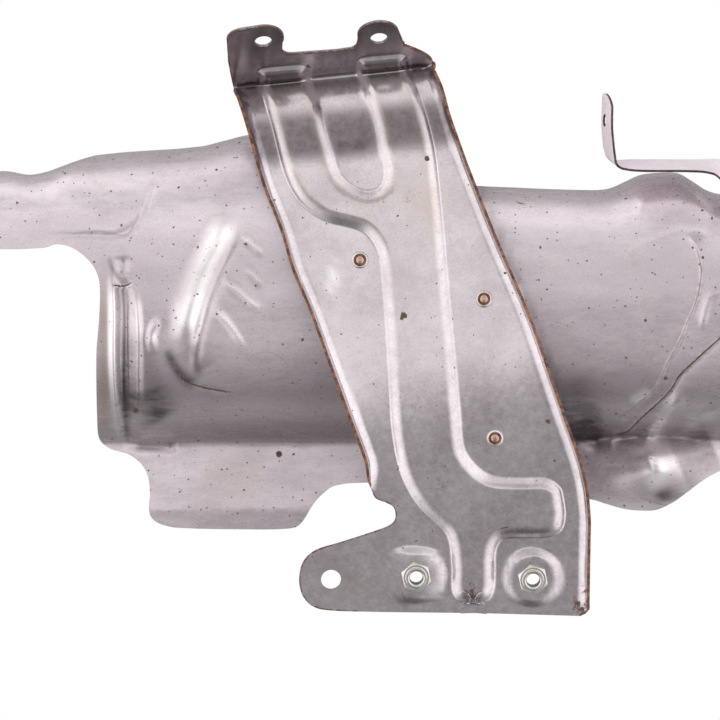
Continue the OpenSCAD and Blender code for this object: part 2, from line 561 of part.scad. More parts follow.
module rivet_at(k) { color(rivet_colour) place() on_deck(rivet_spots[k]) rivet_body(bracket_grip); }
module stem_at(k) { color(nut_colour) place() on_deck(rivet_spots[k]) rivet_stem(bracket_grip); }
module on_strap(k) {
    translate([strap_rivet_spots[k][0], strap_rivet_spots[k][1], strap_foot_z + strap_t / 2])
        children();
}
module strap_rivet_at(k) { color(rivet_colour) place() on_strap(k) rivet_body(strap_grip); }
module strap_stem_at(k) { color(nut_colour) place() on_strap(k) rivet_stem(strap_grip); }

// Nuts: a chamfered hexagon on the boss, a round collar over it and a shank through it
module nut() {
    core = nut_core_d / 2;
    shank = nut_shank_d / 2;
    translate([0, 0, boss_h + nut_fit]) difference() {
        union() {
            intersection() {
                cylinder(d = nut_af / cos(30), h = nut_h, $fn = 6);
                rotate_extrude($fn = 48) polygon([[0, 0], [nut_af / 2 + 0.9, 0],
                    [nut_af / 2 + 0.9, nut_h - 1], [nut_af / 2 - 0.4, nut_h], [0, nut_h]]);
            }
            cylinder(d = nut_collar_d, h = nut_h + nut_collar_h, $fn = 48);
            translate([0, 0, -bracket_t - 1]) cylinder(r = shank, h = bracket_t + 1.5, $fn = 48);
        }
        translate([0, 0, -20]) cylinder(r = core, h = 40, $fn = 48);
    }
}

module nut_at(k) { color(nut_colour) place() on_deck(nut_spots[k]) nut(); }

module place() { translate([-box_mid[0], -box_mid[1], 0]) children(); }

shield_sheet();
main_bracket();
strap_bracket();
rivet_at(0);  // rivet_upper_left
rivet_at(1);  // rivet_upper_right
rivet_at(2);  // rivet_lower
stem_at(0);  // mandrel_upper_left
stem_at(1);  // mandrel_upper_right
stem_at(2);  // mandrel_lower
nut_at(0);  // nut_left
nut_at(1);  // nut_right
strap_rivet_at(0);  // strap_rivet_inner
strap_rivet_at(1);  // strap_rivet_outer
strap_stem_at(0);  // strap_mandrel_inner
strap_stem_at(1);  // strap_mandrel_outer
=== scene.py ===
# %% [markdown]
# # A used exhaust heat shield with its brackets
# The real part is bent sheet held together by rivets: a long trough of thin aluminised sheet, a
# thicker galvanised bracket across it, and a narrow strap. It is seen from straight above, as
# it lies with the trough's open side down.
#
# Such a part could be pulled into shape by hand in the viewport. Here every sheet is a grid of
# points worked out in code. The bracket, the rivets and the seats under them then follow one
# surface, and each size is written in one place.

# %% Setup
import math

import bmesh
import bpy
import numpy as np
from mathutils import Matrix, Vector


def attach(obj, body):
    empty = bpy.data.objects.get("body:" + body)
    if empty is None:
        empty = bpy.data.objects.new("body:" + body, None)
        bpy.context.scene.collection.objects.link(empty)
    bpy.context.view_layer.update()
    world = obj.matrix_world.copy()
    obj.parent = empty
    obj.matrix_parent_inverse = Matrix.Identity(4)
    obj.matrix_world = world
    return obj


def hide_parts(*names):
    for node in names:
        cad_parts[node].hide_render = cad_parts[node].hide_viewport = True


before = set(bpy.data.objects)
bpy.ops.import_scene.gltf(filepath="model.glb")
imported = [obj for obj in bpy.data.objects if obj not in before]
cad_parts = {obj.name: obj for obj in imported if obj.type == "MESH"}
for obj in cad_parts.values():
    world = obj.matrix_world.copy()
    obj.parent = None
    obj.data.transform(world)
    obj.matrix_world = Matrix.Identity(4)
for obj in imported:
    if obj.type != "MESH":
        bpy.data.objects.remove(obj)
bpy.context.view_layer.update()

# %% [markdown]
# ## The drawing's plan
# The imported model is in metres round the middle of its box. Pressed sheet is easier to draw in
# millimetres, so shapes are drawn in a plan of their own and `to_row` moves them over. `at` reads
# places off a half-millimetre grid, counted to the right and down as one reads a page.

# %% Plan
MM = 0.001
BOX_MID = np.array([15.2, 20.7, 0.0])
GRID_MID, GRID_STEP = 360, 0.5


def to_row(p):
    """From the drawing's plan in millimetres to the row frame in metres."""
    return (np.asarray(p, float) - BOX_MID) * MM


def at(*uv):
    """Plan points from pairs read off the half-millimetre grid."""
    g = np.array(uv, float).reshape(-1, 2)
    return np.stack([(g[:, 0] - GRID_MID) * GRID_STEP, (GRID_MID - g[:, 1]) * GRID_STEP], 1)


print("the grid's middle stands at", to_row([*at(GRID_MID, GRID_MID)[0], 0]), "m")

# %% [markdown]
# ## Smooth guides
# A pressed sheet has flowing outlines. They could be Bezier curves, but a grid needs points at
# chosen stations. So `guide` runs a smooth curve through numbered points and gives any station
# between them, `line` does it for a short stroke, and `beside` steps off a guide at right angles,
# as the wall of a bead does.

# %% Guides
def guide(points, s):
    """Smooth curve through [station, x, y, ...] at the stations s."""
    k = np.array(points, float)
    s = np.asarray(s, float)
    i = np.clip(np.searchsorted(k[:, 0], s, "right") - 1, 0, len(k) - 2)
    a, b = k[np.maximum(i - 1, 0)], k[i]
    c, d = k[i + 1], k[np.minimum(i + 2, len(k) - 1)]
    w = (c - b)[:, :1]
    f = (s[:, None] - b[:, :1]) / w
    m1 = (c - a)[:, 1:] * w / (c - a)[:, :1]
    m2 = (d - b)[:, 1:] * w / (d - b)[:, :1]
    b, c = b[:, 1:], c[:, 1:]
    return (2 * f - 3) * f * f * (b - c) + b + f * (f - 1) ** 2 * m1 + f * f * (f - 1) * m2


def line(points, n=40):
    """A smooth line through a few plan points."""
    p = np.asarray(points, float)
    step = np.r_[0, np.cumsum(np.linalg.norm(np.diff(p, axis=0), axis=1))]
    return guide(np.c_[step, p], np.linspace(0, step[-1], n))


def beside(points, s, d):
    """Points a distance d to the left of a guide."""
    last = points[-1][0]
    a, b = guide(points, np.maximum(s - 0.4, 0)), guide(points, np.minimum(s + 0.4, last))
    t = (b - a) / np.linalg.norm(b - a, axis=1, keepdims=True)
    return guide(points, s) + d * np.stack([-t[:, 1], t[:, 0]], 1)


print("halfway along a bent line:", line([[0, 0], [5, 3], [10, 0]], 3)[1])

# %% [markdown]
# ## Blends
# `ease` is the soft step behind every fade, and `bell` is a soft bump. `smooth_max` joins two
# surfaces with a fillet, where a plain maximum would leave a crease. `fade` dies out towards both
# ends of a stroke.

# %% Blends
def mix(a, b, f):
    """a where f is 0, b where f is 1."""
    return a + (b - a) * f


def ease(f):
    """A soft step from 0 to 1."""
    c = np.clip(f, 0, 1)
    return c * c * (3 - 2 * c)


def smooth_max(a, b, k):
    """The larger of the two, with a fillet about k wide in height."""
    return np.maximum(a, b) + np.maximum(k - np.abs(a - b), 0) ** 2 / (4 * k)


def bell(d, w):
    """1 at d = 0, falling off over the width w."""
    return np.exp(-((d / w) ** 2))


def fade(t, ends):
    """1 along a stroke, falling off over the share ends at either end."""
    return ease(t / max(ends, 1e-6)) * ease((1 - t) / max(ends, 1e-6))


print("ease at a quarter:", ease(0.25), "bell one width off:", round(float(bell(1, 1)), 3))

# %% [markdown]
# ## The bracket's form
# The bracket is a stamping of 1.5 mm galvanised sheet. From the top it has an ear flange that
# stands up at 54 degrees, a bend, a convex nose, a level deck, and a tail that falls gently to the
# nuts. It could be a plane with extrudes and bevels. A height for each point of the plan was
# chosen, because the rivets' seats and the nuts' tilt can then be read from the same function.

# %% Bracket sizes
CROWN, SEAT_RISE, GAP = 62.0, 4.0, 0.1
T_SHIELD, T_BRACKET, T_STRAP = 0.8, 1.5, 1.2
DECK = CROWN + SEAT_RISE + GAP + T_BRACKET
BEAD_H, RIM_H, RIM_W = 4.5, 4.0, 5.0
NOSE = np.array([-15.0, 95.0])
TURN, NOSE_R, NOSE_A, FLANGE_A = math.radians(6), 68.0, math.radians(38), math.radians(54)
NOSE_RUN, BEND_SOFT = 6, 3.4
BEND_Q = NOSE_R * math.sin(NOSE_A) + NOSE_RUN * math.cos(NOSE_A)
TAIL_TURN, TAIL_AT, TAIL_BLEND, TAIL_SLOPE = math.radians(12), -6.3, 60.0, 0.23
print("the deck is", DECK, "mm high and the bend", round(BEND_Q, 1), "mm beyond the nose's start")

# %% Nose
def nose_q(p):
    """Distance past the nose's start, towards the flange."""
    return (p[..., 0] - NOSE[0]) * -math.sin(TURN) + (p[..., 1] - NOSE[1]) * math.cos(TURN)


def nose_drop(q, lift):
    """Height against the deck at distance q: level, then round, then straight."""
    r = NOSE_R + lift
    q1 = r * math.sin(NOSE_A)
    curve = np.sqrt(np.maximum(r * r - np.clip(q, 0, q1) ** 2, 0)) - NOSE_R
    fall = r * math.cos(NOSE_A) - NOSE_R - (q - q1) * math.tan(NOSE_A)
    return np.where(q <= 0, lift, np.where(q < q1, curve, fall))


BEND_Z = float(nose_drop(np.array(BEND_Q), np.array(0.0)))
print("the nose falls by", round(-BEND_Z, 1), "mm down to the bend")

# %% Tail
def tail_p(p):
    """Distance above the line where the tail's fall starts."""
    return p[..., 0] * -math.sin(TAIL_TURN) + p[..., 1] * math.cos(TAIL_TURN) - TAIL_AT


def tail_grade(p):
    """The tail's slope."""
    return TAIL_SLOPE * np.clip(-tail_p(p) / TAIL_BLEND, 0, 1)


print("the tail's full slope is", round(math.degrees(math.atan(TAIL_SLOPE)), 1), "degrees")

# %% Deck
def deck(p, lift=0.0):
    """Height of the bracket's upper face, with lift for what is raised out of it."""
    q = nose_q(p)
    k = BEND_SOFT * (1 - 0.7 * lift / BEAD_H)
    rise = BEND_Z + (q - BEND_Q) * math.tan(FLANGE_A) + lift / math.cos(FLANGE_A)
    d = np.maximum(-tail_p(p), 0)
    tail = np.where(d < TAIL_BLEND, TAIL_SLOPE * d * d / (2 * TAIL_BLEND), TAIL_SLOPE * (d - TAIL_BLEND / 2))
    return DECK + smooth_max(nose_drop(q, lift), rise, k) - tail


def on_deck(x, y, lift=0.0):
    """The matrix of a spot on the deck: its place and its square stand."""
    p = np.array([x, y])
    turn = Matrix.Rotation(TAIL_TURN, 4, "Z") @ Matrix.Rotation(math.atan(float(tail_grade(p))), 4, "X")
    spot = Matrix.Translation(Vector(to_row([x, y, float(deck(p))])))
    return spot @ turn @ Matrix.Translation((0, 0, lift * MM))


print("the deck stands at", float(deck(np.array([0, 50]))), "mm by the first rivet")

# %% [markdown]
# ## Outlines by stations
# Six guides run down the bracket: its two edges, the two feet of the raised bead, and the two
# sides of the island in the bead. Every guide has points at numbered stations, from 0 on the
# flange to 43 at the bottom edge. The numbers are shared, so one station is one row across the
# sheet, however the outline wanders.

# %% Bracket outlines
# Each point: its station, then x and y in the drawing's plan
LEFT_EDGE = [[0, -66, 149.2], [3, -64, 139], [5, -62.5, 134], [7, -58.2, 121.5], [9, -54, 107],
    [11, -49.5, 91.2], [13, -45.8, 80], [17, -38.8, 61.5], [19, -34, 45], [21, -25.2, 24],
    [23, -14.5, -5.5], [25, -4.8, -32], [27, 1.8, -50], [28, 4.2, -59.5], [29, 7.2, -68.5],
    [30, 12.8, -71.3], [31, 16.4, -73.3], [32, 17.8, -77], [33, 16.8, -81], [34, 12.5, -83.7],
    [35, 3, -87], [36, -10, -91.2], [37, -22, -95], [38, -28.5, -101], [39, -30.5, -110],
    [40, -28.5, -118.5], [41, -22.5, -124], [42, -12, -125.7], [43, 10, -126.3]]
RIGHT_EDGE = [[0, 22.5, 157.3], [1, 27.5, 155.5], [2, 32.5, 153.2], [3, 36, 150.5],
    [4, 37.3, 147], [5, 38, 144], [6, 41.5, 136], [8, 45, 122.5], [10, 49.5, 110],
    [13, 59.3, 84.7], [16, 69, 60.5], [20, 85.8, 21], [23, 98.5, -15], [25, 104, -31],
    [27, 107.4, -40.3], [28, 109.1, -45.3], [29, 110.9, -50.8], [30, 112.6, -57], [31, 114.2, -65],
    [33, 115.5, -82], [37, 115.4, -105], [40, 115.2, -120], [41, 115.1, -123], [42, 114, -126.5],
    [43, 110.5, -128.4]]
BEAD_LEFT = [[0, -52, 151.5], [2, -51, 143.2], [4, -50.8, 138], [6, -48.2, 129.5],
    [8, -44.2, 116], [11, -38, 92.5], [13, -31.5, 80], [14, -24.5, 73.5], [15, -16.5, 69],
    [16, -6.5, 66.5], [17, 1, 64.2], [18, 5.5, 60], [19, 9, 53], [20, 10.5, 42.5],
    [22, 13, 10], [24, 14.8, -22.5], [25, 15.8, -36], [27, 19.5, -55], [29, 25.5, -68.2],
    [31, 32, -76.5], [33, 39, -83], [34, 42, -86], [35, 44, -90], [36, 45, -95], [38, 45.8, -105.5],
    [39, 45.7, -111], [40, 46, -116], [41, 48, -119.8], [42, 51, -121.9], [43, 50, -126.8]]
BEAD_RIGHT = [[0, 19, 158], [1, 22, 154], [2, 23, 150.8], [4, 25, 146], [6, 28.2, 138.2],
    [8, 33.2, 124], [10, 37.5, 107], [12, 39.5, 92], [15, 41.8, 70], [18, 44.5, 38.5],
    [21, 48, 1], [23, 50.5, -27.5], [24, 51.5, -40], [25, 53, -45.8], [26, 57, -51.5],
    [27, 62.5, -56.2], [28, 69, -58.5], [29, 81, -58.9], [30, 93, -59], [31, 100.2, -63.5],
    [32, 102.2, -70], [33, 103, -78], [34, 101, -85.5], [35, 94, -89], [36, 80, -89.3],
    [37, 71.5, -90.2], [38, 68.2, -96], [39, 67.9, -105], [40, 67.6, -114], [41, 65.5, -119.4],
    [42, 62.5, -121.9], [43, 64, -127]]
ISLAND_LEFT = [[0, -25, 154], [2, -25, 145.8], [4, -24, 140.8], [6, -21.5, 132.5], [8, -17.5, 119],
    [10, -13.2, 103.2], [11, -10.5, 95.5], [12, -6.5, 89.8], [13, 0, 85.2], [14, 2, 80.5],
    [15, 4, 77], [16, 6.5, 74], [17, 9.5, 70], [18, 13.5, 64.5], [19, 17, 57], [20, 19.5, 47],
    [22, 23, 14], [24, 25.5, -22], [26, 31.5, -50], [27, 34.5, -58], [28, 38, -64],
    [29, 42, -68.5], [30, 46, -72], [31, 49.5, -75], [32, 52.5, -77.5], [33, 54.5, -79.5],
    [34, 55.5, -82.5], [35, 55.5, -86.5], [36, 55.3, -92], [37, 55.2, -98], [38, 55.2, -103.5],
    [40, 55.2, -115], [41, 55.2, -119], [42, 55.2, -122.3], [43, 55.2, -126.9]]
ISLAND_RIGHT = [[0, -2, 156], [2, -2, 148.2], [4, -1.8, 143], [6, 1.8, 135], [8, 6, 121.2],
    [10, 9.5, 105.5], [11, 11.5, 97.8], [12, 11, 90], [13, 6.5, 85.6], [14, 8.5, 81],
    [15, 13.5, 77], [16, 20.5, 71.5], [17, 26, 64.5], [18, 29, 56], [19, 31, 47], [20, 32.5, 37],
    [22, 35, 8], [24, 38, -27], [26, 45, -54], [27, 50, -61], [28, 56, -66.5], [29, 63, -70],
    [30, 69, -72.5], [31, 73.5, -73.5], [32, 76.5, -74], [33, 77.5, -75], [34, 75.5, -77],
    [35, 73, -78], [36, 68.5, -81.5], [37, 63, -87], [38, 59.8, -98], [40, 58.8, -115],
    [41, 58.7, -119], [42, 58.6, -122.3], [43, 58.6, -126.9]]

# %% Holes and bosses
NUTS = [[28, -108], [86.5, -109.2]]
LUG_HOLE = [-14.5, -110]
RIVETS = [[0, 50], [62, 30.5], [67.5, -39]]
BOSS_R, BOSS_H, BOSS_WALL = 15.5, 2.2, 4.5
print(len(LEFT_EDGE) + len(RIGHT_EDGE), "outline points,", len(RIVETS), "rivets,", len(NUTS), "nuts")

# %% [markdown]
# ## The raised bead
# A bead stiffens the stamping. Its wall is tight at the foot and long at the shoulder, which the
# light shows as a thin bright line with a soft band beside it. A bevel has one radius all along,
# so the bead is a height over the distance inside its foot. `to_line` measures that distance to a
# line, and `depth_inside` to a closed ring.

# %% Distances
FAR_OFF = 1e9


def to_line(p, c, reach=26):
    """For each point of p: its distance to the line c, its side (+1 left) and how far along."""
    every = p.reshape(-1, 2)
    close = np.all((every > c.min(0) - reach) & (every < c.max(0) + reach), axis=1)
    flat = every[close]
    best = np.full(len(flat), FAR_OFF)
    side = np.ones(len(flat))
    along = np.zeros(len(flat))
    for i, (a, b) in enumerate(zip(c[:-1], c[1:])):
        e = b - a
        f = np.clip((flat - a) @ e / (e @ e), 0, 1)
        q = flat - (a + f[:, None] * e)
        d = np.hypot(q[:, 0], q[:, 1])
        near = d < best
        best = np.where(near, d, best)
        side = np.where(near, np.sign(e[0] * q[:, 1] - e[1] * q[:, 0] + 1e-12), side)
        along = np.where(near, (i + f) / (len(c) - 1), along)
    out = []
    for v, far in ((best, FAR_OFF), (side, 1.0), (along, 0.0)):
        whole = np.full(len(every), far)
        whole[close] = v
        out.append(whole.reshape(p.shape[:-1]))
    return out


def depth_inside(p, ring):
    """Distance to the closed ring, positive inside it."""
    closed = np.vstack([ring, ring[:1]])
    d = to_line(p, closed)[0]
    flat = p.reshape(-1, 2)
    odd = np.zeros(len(flat), bool)
    for a, b in zip(closed[:-1], closed[1:]):
        cuts = (a[1] > flat[:, 1]) != (b[1] > flat[:, 1])
        x = a[0] + (flat[:, 1] - a[1]) * (b[0] - a[0]) / (b[1] - a[1] + 1e-12)
        odd ^= cuts & (flat[:, 0] < x)
    return np.where(odd.reshape(d.shape), d, -d)


print("inside a 10 mm square:", depth_inside(at([360, 356]), np.array([[-5.0, -5], [5, -5], [5, 5], [-5, 5]])))

# %% Bead ring
down = np.arange(4, 40.6, 0.2)
bead_ring = np.vstack([
    line(at(256.5, 84, 256.6, 73, 262, 67.8, 282, 65.4, 300, 64.2, 307.5, 67.4, 311, 78), 24),
    line(at(312.5, 80, 321, 105.6, 327, 130, 333, 150, 339, 170, 345, 179, 354.6, 186, 366, 190.5, 376, 188.6,
            382, 182, 383.4, 168, 378.4, 148.5, 374.5, 127, 368, 105.6, 362, 92, 356.5, 75), 80),
    line(at(355.6, 70, 356.4, 62, 362, 57, 382, 54.6, 399, 53.2, 406.8, 56, 410, 67), 24),
    guide(BEAD_RIGHT, down), line([[67, -117], [65.3, -119.8], [62, -121.9], [56.5, -122.6], [51.2, -121.8],
                                   [47.8, -119.6], [46.3, -117]], 20),
    guide(BEAD_LEFT, down[::-1])])
print("the bead's foot has", len(bead_ring), "points")

# %% Bead profile
BEAD_SHARE = 0.8
run = np.linspace(-1.2, 8.2, 240)
slope = ease((run + 0.4) / 1.1) * (1 - ease((run - 1.4) / 6.0))
bead_profile = BEAD_SHARE * BEAD_H * np.cumsum(slope) / slope.sum()
print("the bead rises", round(float(bead_profile[-1]), 2), "mm, half of it within",
      round(float(np.interp(bead_profile[-1] / 2, bead_profile, run)), 1), "mm of its foot")

# %% [markdown]
# ## Turned-up rims
# Both long edges turn up into a low rim that dies out at its ends, so that the edge is stiff and
# not sharp. The curve of the rim is a short list of slopes, steepest at the cut edge, and `rim`
# lays it along an outline, square to it and never past the next guide.

# %% Rim
# The rim's slope in degrees from column to column, from its foot to the cut edge
phi = np.radians([0, 20, 34, 40, 45, 51, 58, 66, 76])
fx = np.r_[0, np.cumsum(np.cos(phi[1:]))]
fz = np.r_[0, np.cumsum(np.sin(phi[1:]))]
rim_steps = np.c_[fx / fx[-1], fz / fz[-1]][::-1]


def rim_share(s, lo, hi):
    """1 between the stations lo and hi, dying out within two stations."""
    return ease((s - lo) / 2) * ease((hi - s) / 2)


def rim(points, s, rows, nxt):
    """Rim columns from the outermost one inwards: plan points and their lifts."""
    k = rim_share(s, *rows)[:, None]
    e = guide(points, s)
    across = nxt - e
    far = np.linalg.norm(across, axis=1, keepdims=True)
    b = beside(points, s, 1) - e
    slant = np.maximum(np.abs((across * b).sum(1, keepdims=True)) / far, 0.5)
    out = []
    for x, z in rim_steps:
        w = (T_BRACKET * k + RIM_W * mix(0.4, 1, k) * (1 - x)) / slant
        out.append((e + across * np.minimum(w / far, 0.5 - 0.4 * x), k[:, 0] * RIM_H * z))
    return out


print("the rim has", len(rim_steps), "columns")

# %% [markdown]
# ## The bracket's grid
# A remesh would blur the thin lines of the stamping. The grid's rows and columns are packed where
# the sheet bends and spread where it is flat. Rows above station 0 continue the flange, and the
# ears are cut out of them.

# %% Rows and columns
stations = np.concatenate([
    np.arange(0, 3, 0.12), np.arange(3, 6, 0.1), np.arange(6, 12, 0.2), np.arange(12, 16, 0.16),
    np.arange(16, 27, 0.25), np.arange(27, 43.01, 0.15)])
stations[-1] = 43


def even(n):
    """n equal steps, without the first point."""
    return np.linspace(0, 1, n + 1)[1:]


SHOULDER, END_SHOULDER, BEAD_END = 6.0, 1.0, 42
up = np.array([0.07, 0.14, 0.21, 0.3, 0.42, 0.56, 0.72, 0.87, 1])
off = np.r_[1 - up[::-1][1:], 1]
print(len(stations), "rows; the walls of the bead have", len(up), "columns each")

# %% Guides across the bracket
bl, br = guide(BEAD_LEFT, stations), guide(BEAD_RIGHT, stations)
il, ir = guide(ISLAND_LEFT, stations), guide(ISLAND_RIGHT, stations)
wall = np.where(stations < BEAD_END, SHOULDER, END_SHOULDER)[:, None]
bls = bl + (beside(BEAD_LEFT, stations, 1.0) - bl) * wall
brs = br + (beside(BEAD_RIGHT, stations, -1.0) - br) * wall
side = np.array([5.3, 0.5])
apart = ease((15 - stations) / 2)[:, None]
ils = mix(mix(bls, il, 0.5), il - side, apart)
irs = mix(mix(brs, ir, 0.5), ir + side, apart)
rim_l = rim(LEFT_EDGE, stations, (4, 29), bl)
rim_r = rim(RIGHT_EDGE, stations, (3, 42.5), br)
print("the island stands apart from the bead in", int((apart > 0).sum()), "rows")

# %% Bracket plan
plan = [p for p, _ in rim_l]
lifts = [h for _, h in rim_l]
spans = ((rim_l[-1][0], bl, np.r_[0.05, even(9)[:-1], 0.94, 0.97, 1]), (bl, bls, up), (bls, ils, even(9)),
         (ils, il, off), (il, ir, even(14)), (ir, irs, up), (irs, brs, even(9)), (brs, br, off),
         (br, rim_r[-1][0], np.r_[0.02, 0.05, even(16)[:-1], 0.96, 1]))
for a, b, steps in spans:
    for f in steps:
        plan.append(mix(a, b, f))
        lifts.append(np.zeros(len(stations)))
plan += [p for p, _ in rim_r[::-1][1:]]
lifts += [h for _, h in rim_r[::-1][1:]]
plan = np.stack(plan, 1)
rims = np.stack(lifts, 1)
# More rows above station 0, out of which the ears are cut
flange_way = np.array([-math.sin(TURN), math.cos(TURN)]) * math.cos(FLANGE_A)
more = np.array([30, 26, 22, 19, 16, 13, 10, 7.5, 5, 3, 1.5])
plan = np.concatenate([plan[:1] + more[:, None, None] * flange_way, plan])
rims = np.concatenate([np.zeros((len(more), rims.shape[1])), rims])
print("plan grid", plan.shape[:2])

# %% [markdown]
# ## A sheet as a mesh
# Solidify would thicken a surface with one click. Here the lower face is worked out as well,
# straight below where the sheet is flat and square to it where it is steep, so that the sheet stays
# inside its box and the cut edge gets a material of its own.

# %% Sheet mesh
def normals(g):
    """Unit normals of a grid's points."""
    n = np.cross(np.gradient(g, axis=0), np.gradient(g, axis=1))
    return n / np.maximum(np.linalg.norm(n, axis=-1, keepdims=True), 1e-9)


def make_piece(name, points, faces, kind=None):
    """A smooth object, sharp only where two kinds of face meet."""
    mesh = bpy.data.meshes.new(name)
    mesh.from_pydata(np.asarray(points).tolist(), [], faces)
    mesh.polygons.foreach_set("use_smooth", np.ones(len(mesh.polygons), bool))
    if kind is not None:
        mesh.polygons.foreach_set("material_index", kind)
        side = [set() for _ in mesh.edges]
        for poly, k in zip(mesh.polygons, kind):
            for key in poly.loop_indices:
                side[mesh.loops[key].edge_index].add(int(k))
        mesh.edges.foreach_set("use_edge_sharp", [len(x) > 1 for x in side])
    piece = bpy.data.objects.new(name, mesh)
    bpy.context.scene.collection.objects.link(piece)
    return piece


def sheet_mesh(name, top, low):
    """A closed thin sheet between two grids: kind 0 is its two skins, kind 1 its cut edge."""
    rows, cols = top.shape[:2]
    ids = np.arange(rows * cols).reshape(rows, cols)
    quad = np.stack([ids[:-1, :-1], ids[1:, :-1], ids[1:, 1:], ids[:-1, 1:]], -1).reshape(-1, 4)
    rim = np.r_[ids[0, :-1], ids[:-1, -1], ids[-1, :0:-1], ids[:0:-1, 0]]
    nxt = np.roll(rim, -1)
    wall = np.stack([rim, nxt, nxt + rows * cols, rim + rows * cols], -1)
    if normals(top)[..., 2].mean() < 0:
        quad = quad[:, ::-1]
    else:
        wall = wall[:, ::-1]
    faces = np.vstack([quad, quad[:, ::-1] + rows * cols, wall])
    kind = np.r_[np.zeros(2 * len(quad), int), np.ones(len(wall), int)]
    points = to_row(np.vstack([top.reshape(-1, 3), low.reshape(-1, 3)]))
    return make_piece(name, points, faces.tolist(), kind)


def under(top, thick):
    """The lower face: straight below where the sheet is flat, across the sheet where steep."""
    n = normals(top)
    if n[..., 2].mean() < 0:
        n = -n
    nz = n[..., 2:3]
    straight = np.concatenate([0 * nz, 0 * nz, 1 / np.maximum(nz, 0.5)], -1)
    return top - np.asarray(thick)[..., None] * mix(straight, n, ease((0.8 - nz) / 0.3))


level = np.dstack([*np.meshgrid([0, 1, 2], [0, 1, 2], indexing="ij"), np.zeros((3, 3))])
print("under a level sheet:", under(level, np.full((3, 3), T_BRACKET))[1, 1, 2], "mm")

# %% Bracket height
inside = depth_inside(plan, bead_ring)
bead = np.interp(inside, run, bead_profile)
lift = np.clip(bead + rims, 0, BEAD_H)
top = deck(plan, lift)
# Dents: a soft fold left of the first rivet and a faint line across the bead
DENTS = ((at(331, 240, 335, 255, 336, 275, 332, 292, 325, 310), 0.7, 2.0, 0.3),
         (at(396, 321, 400, 329, 409, 333, 420, 331, 431, 325), 0.28, 0.9, 0.3))
for pts, h, w, ends in DENTS:
    d, _, t = to_line(plan, line(pts))
    top += h * bell(d, w) * fade(t, ends)
for x, y in NUTS:
    r = np.hypot(plan[..., 0] - x, plan[..., 1] - y)
    top += BOSS_H * ease((BOSS_R - r) / BOSS_WALL)
print("heights from", round(float(top.min()), 1), "to", round(float(top.max()), 1), "mm before the ears are cut")

# %% Bracket mesh
bracket_top = np.dstack([plan, top])
bracket_low = under(bracket_top, np.full(top.shape, T_BRACKET))
bracket = sheet_mesh("main_bracket_sheet", bracket_top, bracket_low)
print("bracket grid", bracket_top.shape)

# %% [markdown]
# ## Ears and holes
# The ears have round heads and round inner corners, and the holes are square to the sheet that
# they pass through. A Boolean is the plain way to cut them. All the cutters are joined first, so
# the grid is cut once, and the cut faces keep the material of the edge.

# %% Cutters
def face_out(mesh):
    """Turns every face of a closed mesh outwards."""
    bm = bmesh.new()
    bm.from_mesh(mesh)
    bmesh.ops.recalc_face_normals(bm, faces=bm.faces)
    bm.to_mesh(mesh)
    bm.free()


def add(name, mesh, matrix):
    o = bpy.data.objects.new(name, mesh)
    o.matrix_world = matrix
    bpy.context.scene.collection.objects.link(o)
    return o


def prism(ring, h, matrix):
    """A cutter of height h over a closed ring, in millimetres; its cut faces are of kind 1."""
    n = len(ring)
    v = np.vstack([np.c_[ring, np.full(n, -h / 2)], np.c_[ring, np.full(n, h / 2)]]) * MM
    faces = [list(range(n))[::-1], list(range(n, 2 * n))]
    faces += [[i, (i + 1) % n, (i + 1) % n + n, i + n] for i in range(n)]
    mesh = bpy.data.meshes.new("cutter")
    mesh.from_pydata(v.tolist(), [], faces)
    mesh.polygons.foreach_set("material_index", np.ones(len(faces), int))
    face_out(mesh)
    return add("cutter", mesh, matrix)


def cylinder(r, h, matrix, segments=64):
    """A round cutter."""
    a = np.arange(segments) * 2 * math.pi / segments
    ring = np.stack([r * np.cos(a), r * np.sin(a)], 1)
    return prism(ring, h, matrix)


def cut(piece, *cutters):
    """Cuts the cutters out of the piece for good."""
    tool = cutters[0]
    if len(cutters) > 1:
        with bpy.context.temp_override(active_object=tool, selected_editable_objects=list(cutters)):
            bpy.ops.object.join()
    m = piece.modifiers.new("cut", "BOOLEAN")
    m.operation, m.object, m.solver = "DIFFERENCE", tool, "EXACT"
    bpy.context.view_layer.update()
    with bpy.context.temp_override(object=piece, active_object=piece):
        bpy.ops.object.modifier_apply(modifier="cut")
    bpy.data.objects.remove(tool)


print("the piece to cut has", len(bracket.data.vertices), "points")

# %% Ear outline
def arc(cx, cy, r, a0, a1, n):
    """Points on a circle between two angles in degrees."""
    a = np.radians(np.linspace(a0, a1, n + 1))
    return [[cx + r * math.cos(t), cy + r * math.sin(t)] for t in a]


flange_m = (Matrix.Translation(Vector(to_row([NOSE[0], NOSE[1], DECK]))) @ Matrix.Rotation(TURN, 4, "Z")
            @ Matrix.Translation((0, BEND_Q * MM, BEND_Z * MM)) @ Matrix.Rotation(FLANGE_A, 4, "X"))
keep_in = (
    [[-60, 21.2], [-45, 21.2], [-44.6, 36]] + arc(-36, 38, 8.6, 175, 100, 12)
    + arc(-26.4, 36.85, 10.5, 95, -25, 24) + arc(-13, 26.6, 4.5, 165, 260, 10) + [[-12, 21.9], [10, 20.7]]
    + arc(15.6, 25.4, 4.4, -100, -10, 10) + arc(31, 30.5, 10.4, 190, 15, 30)
    + [[43.2, 21.5], [44.6, 19.7], [60, 19.7]])
print("the ears' outline has", len(keep_in), "points")

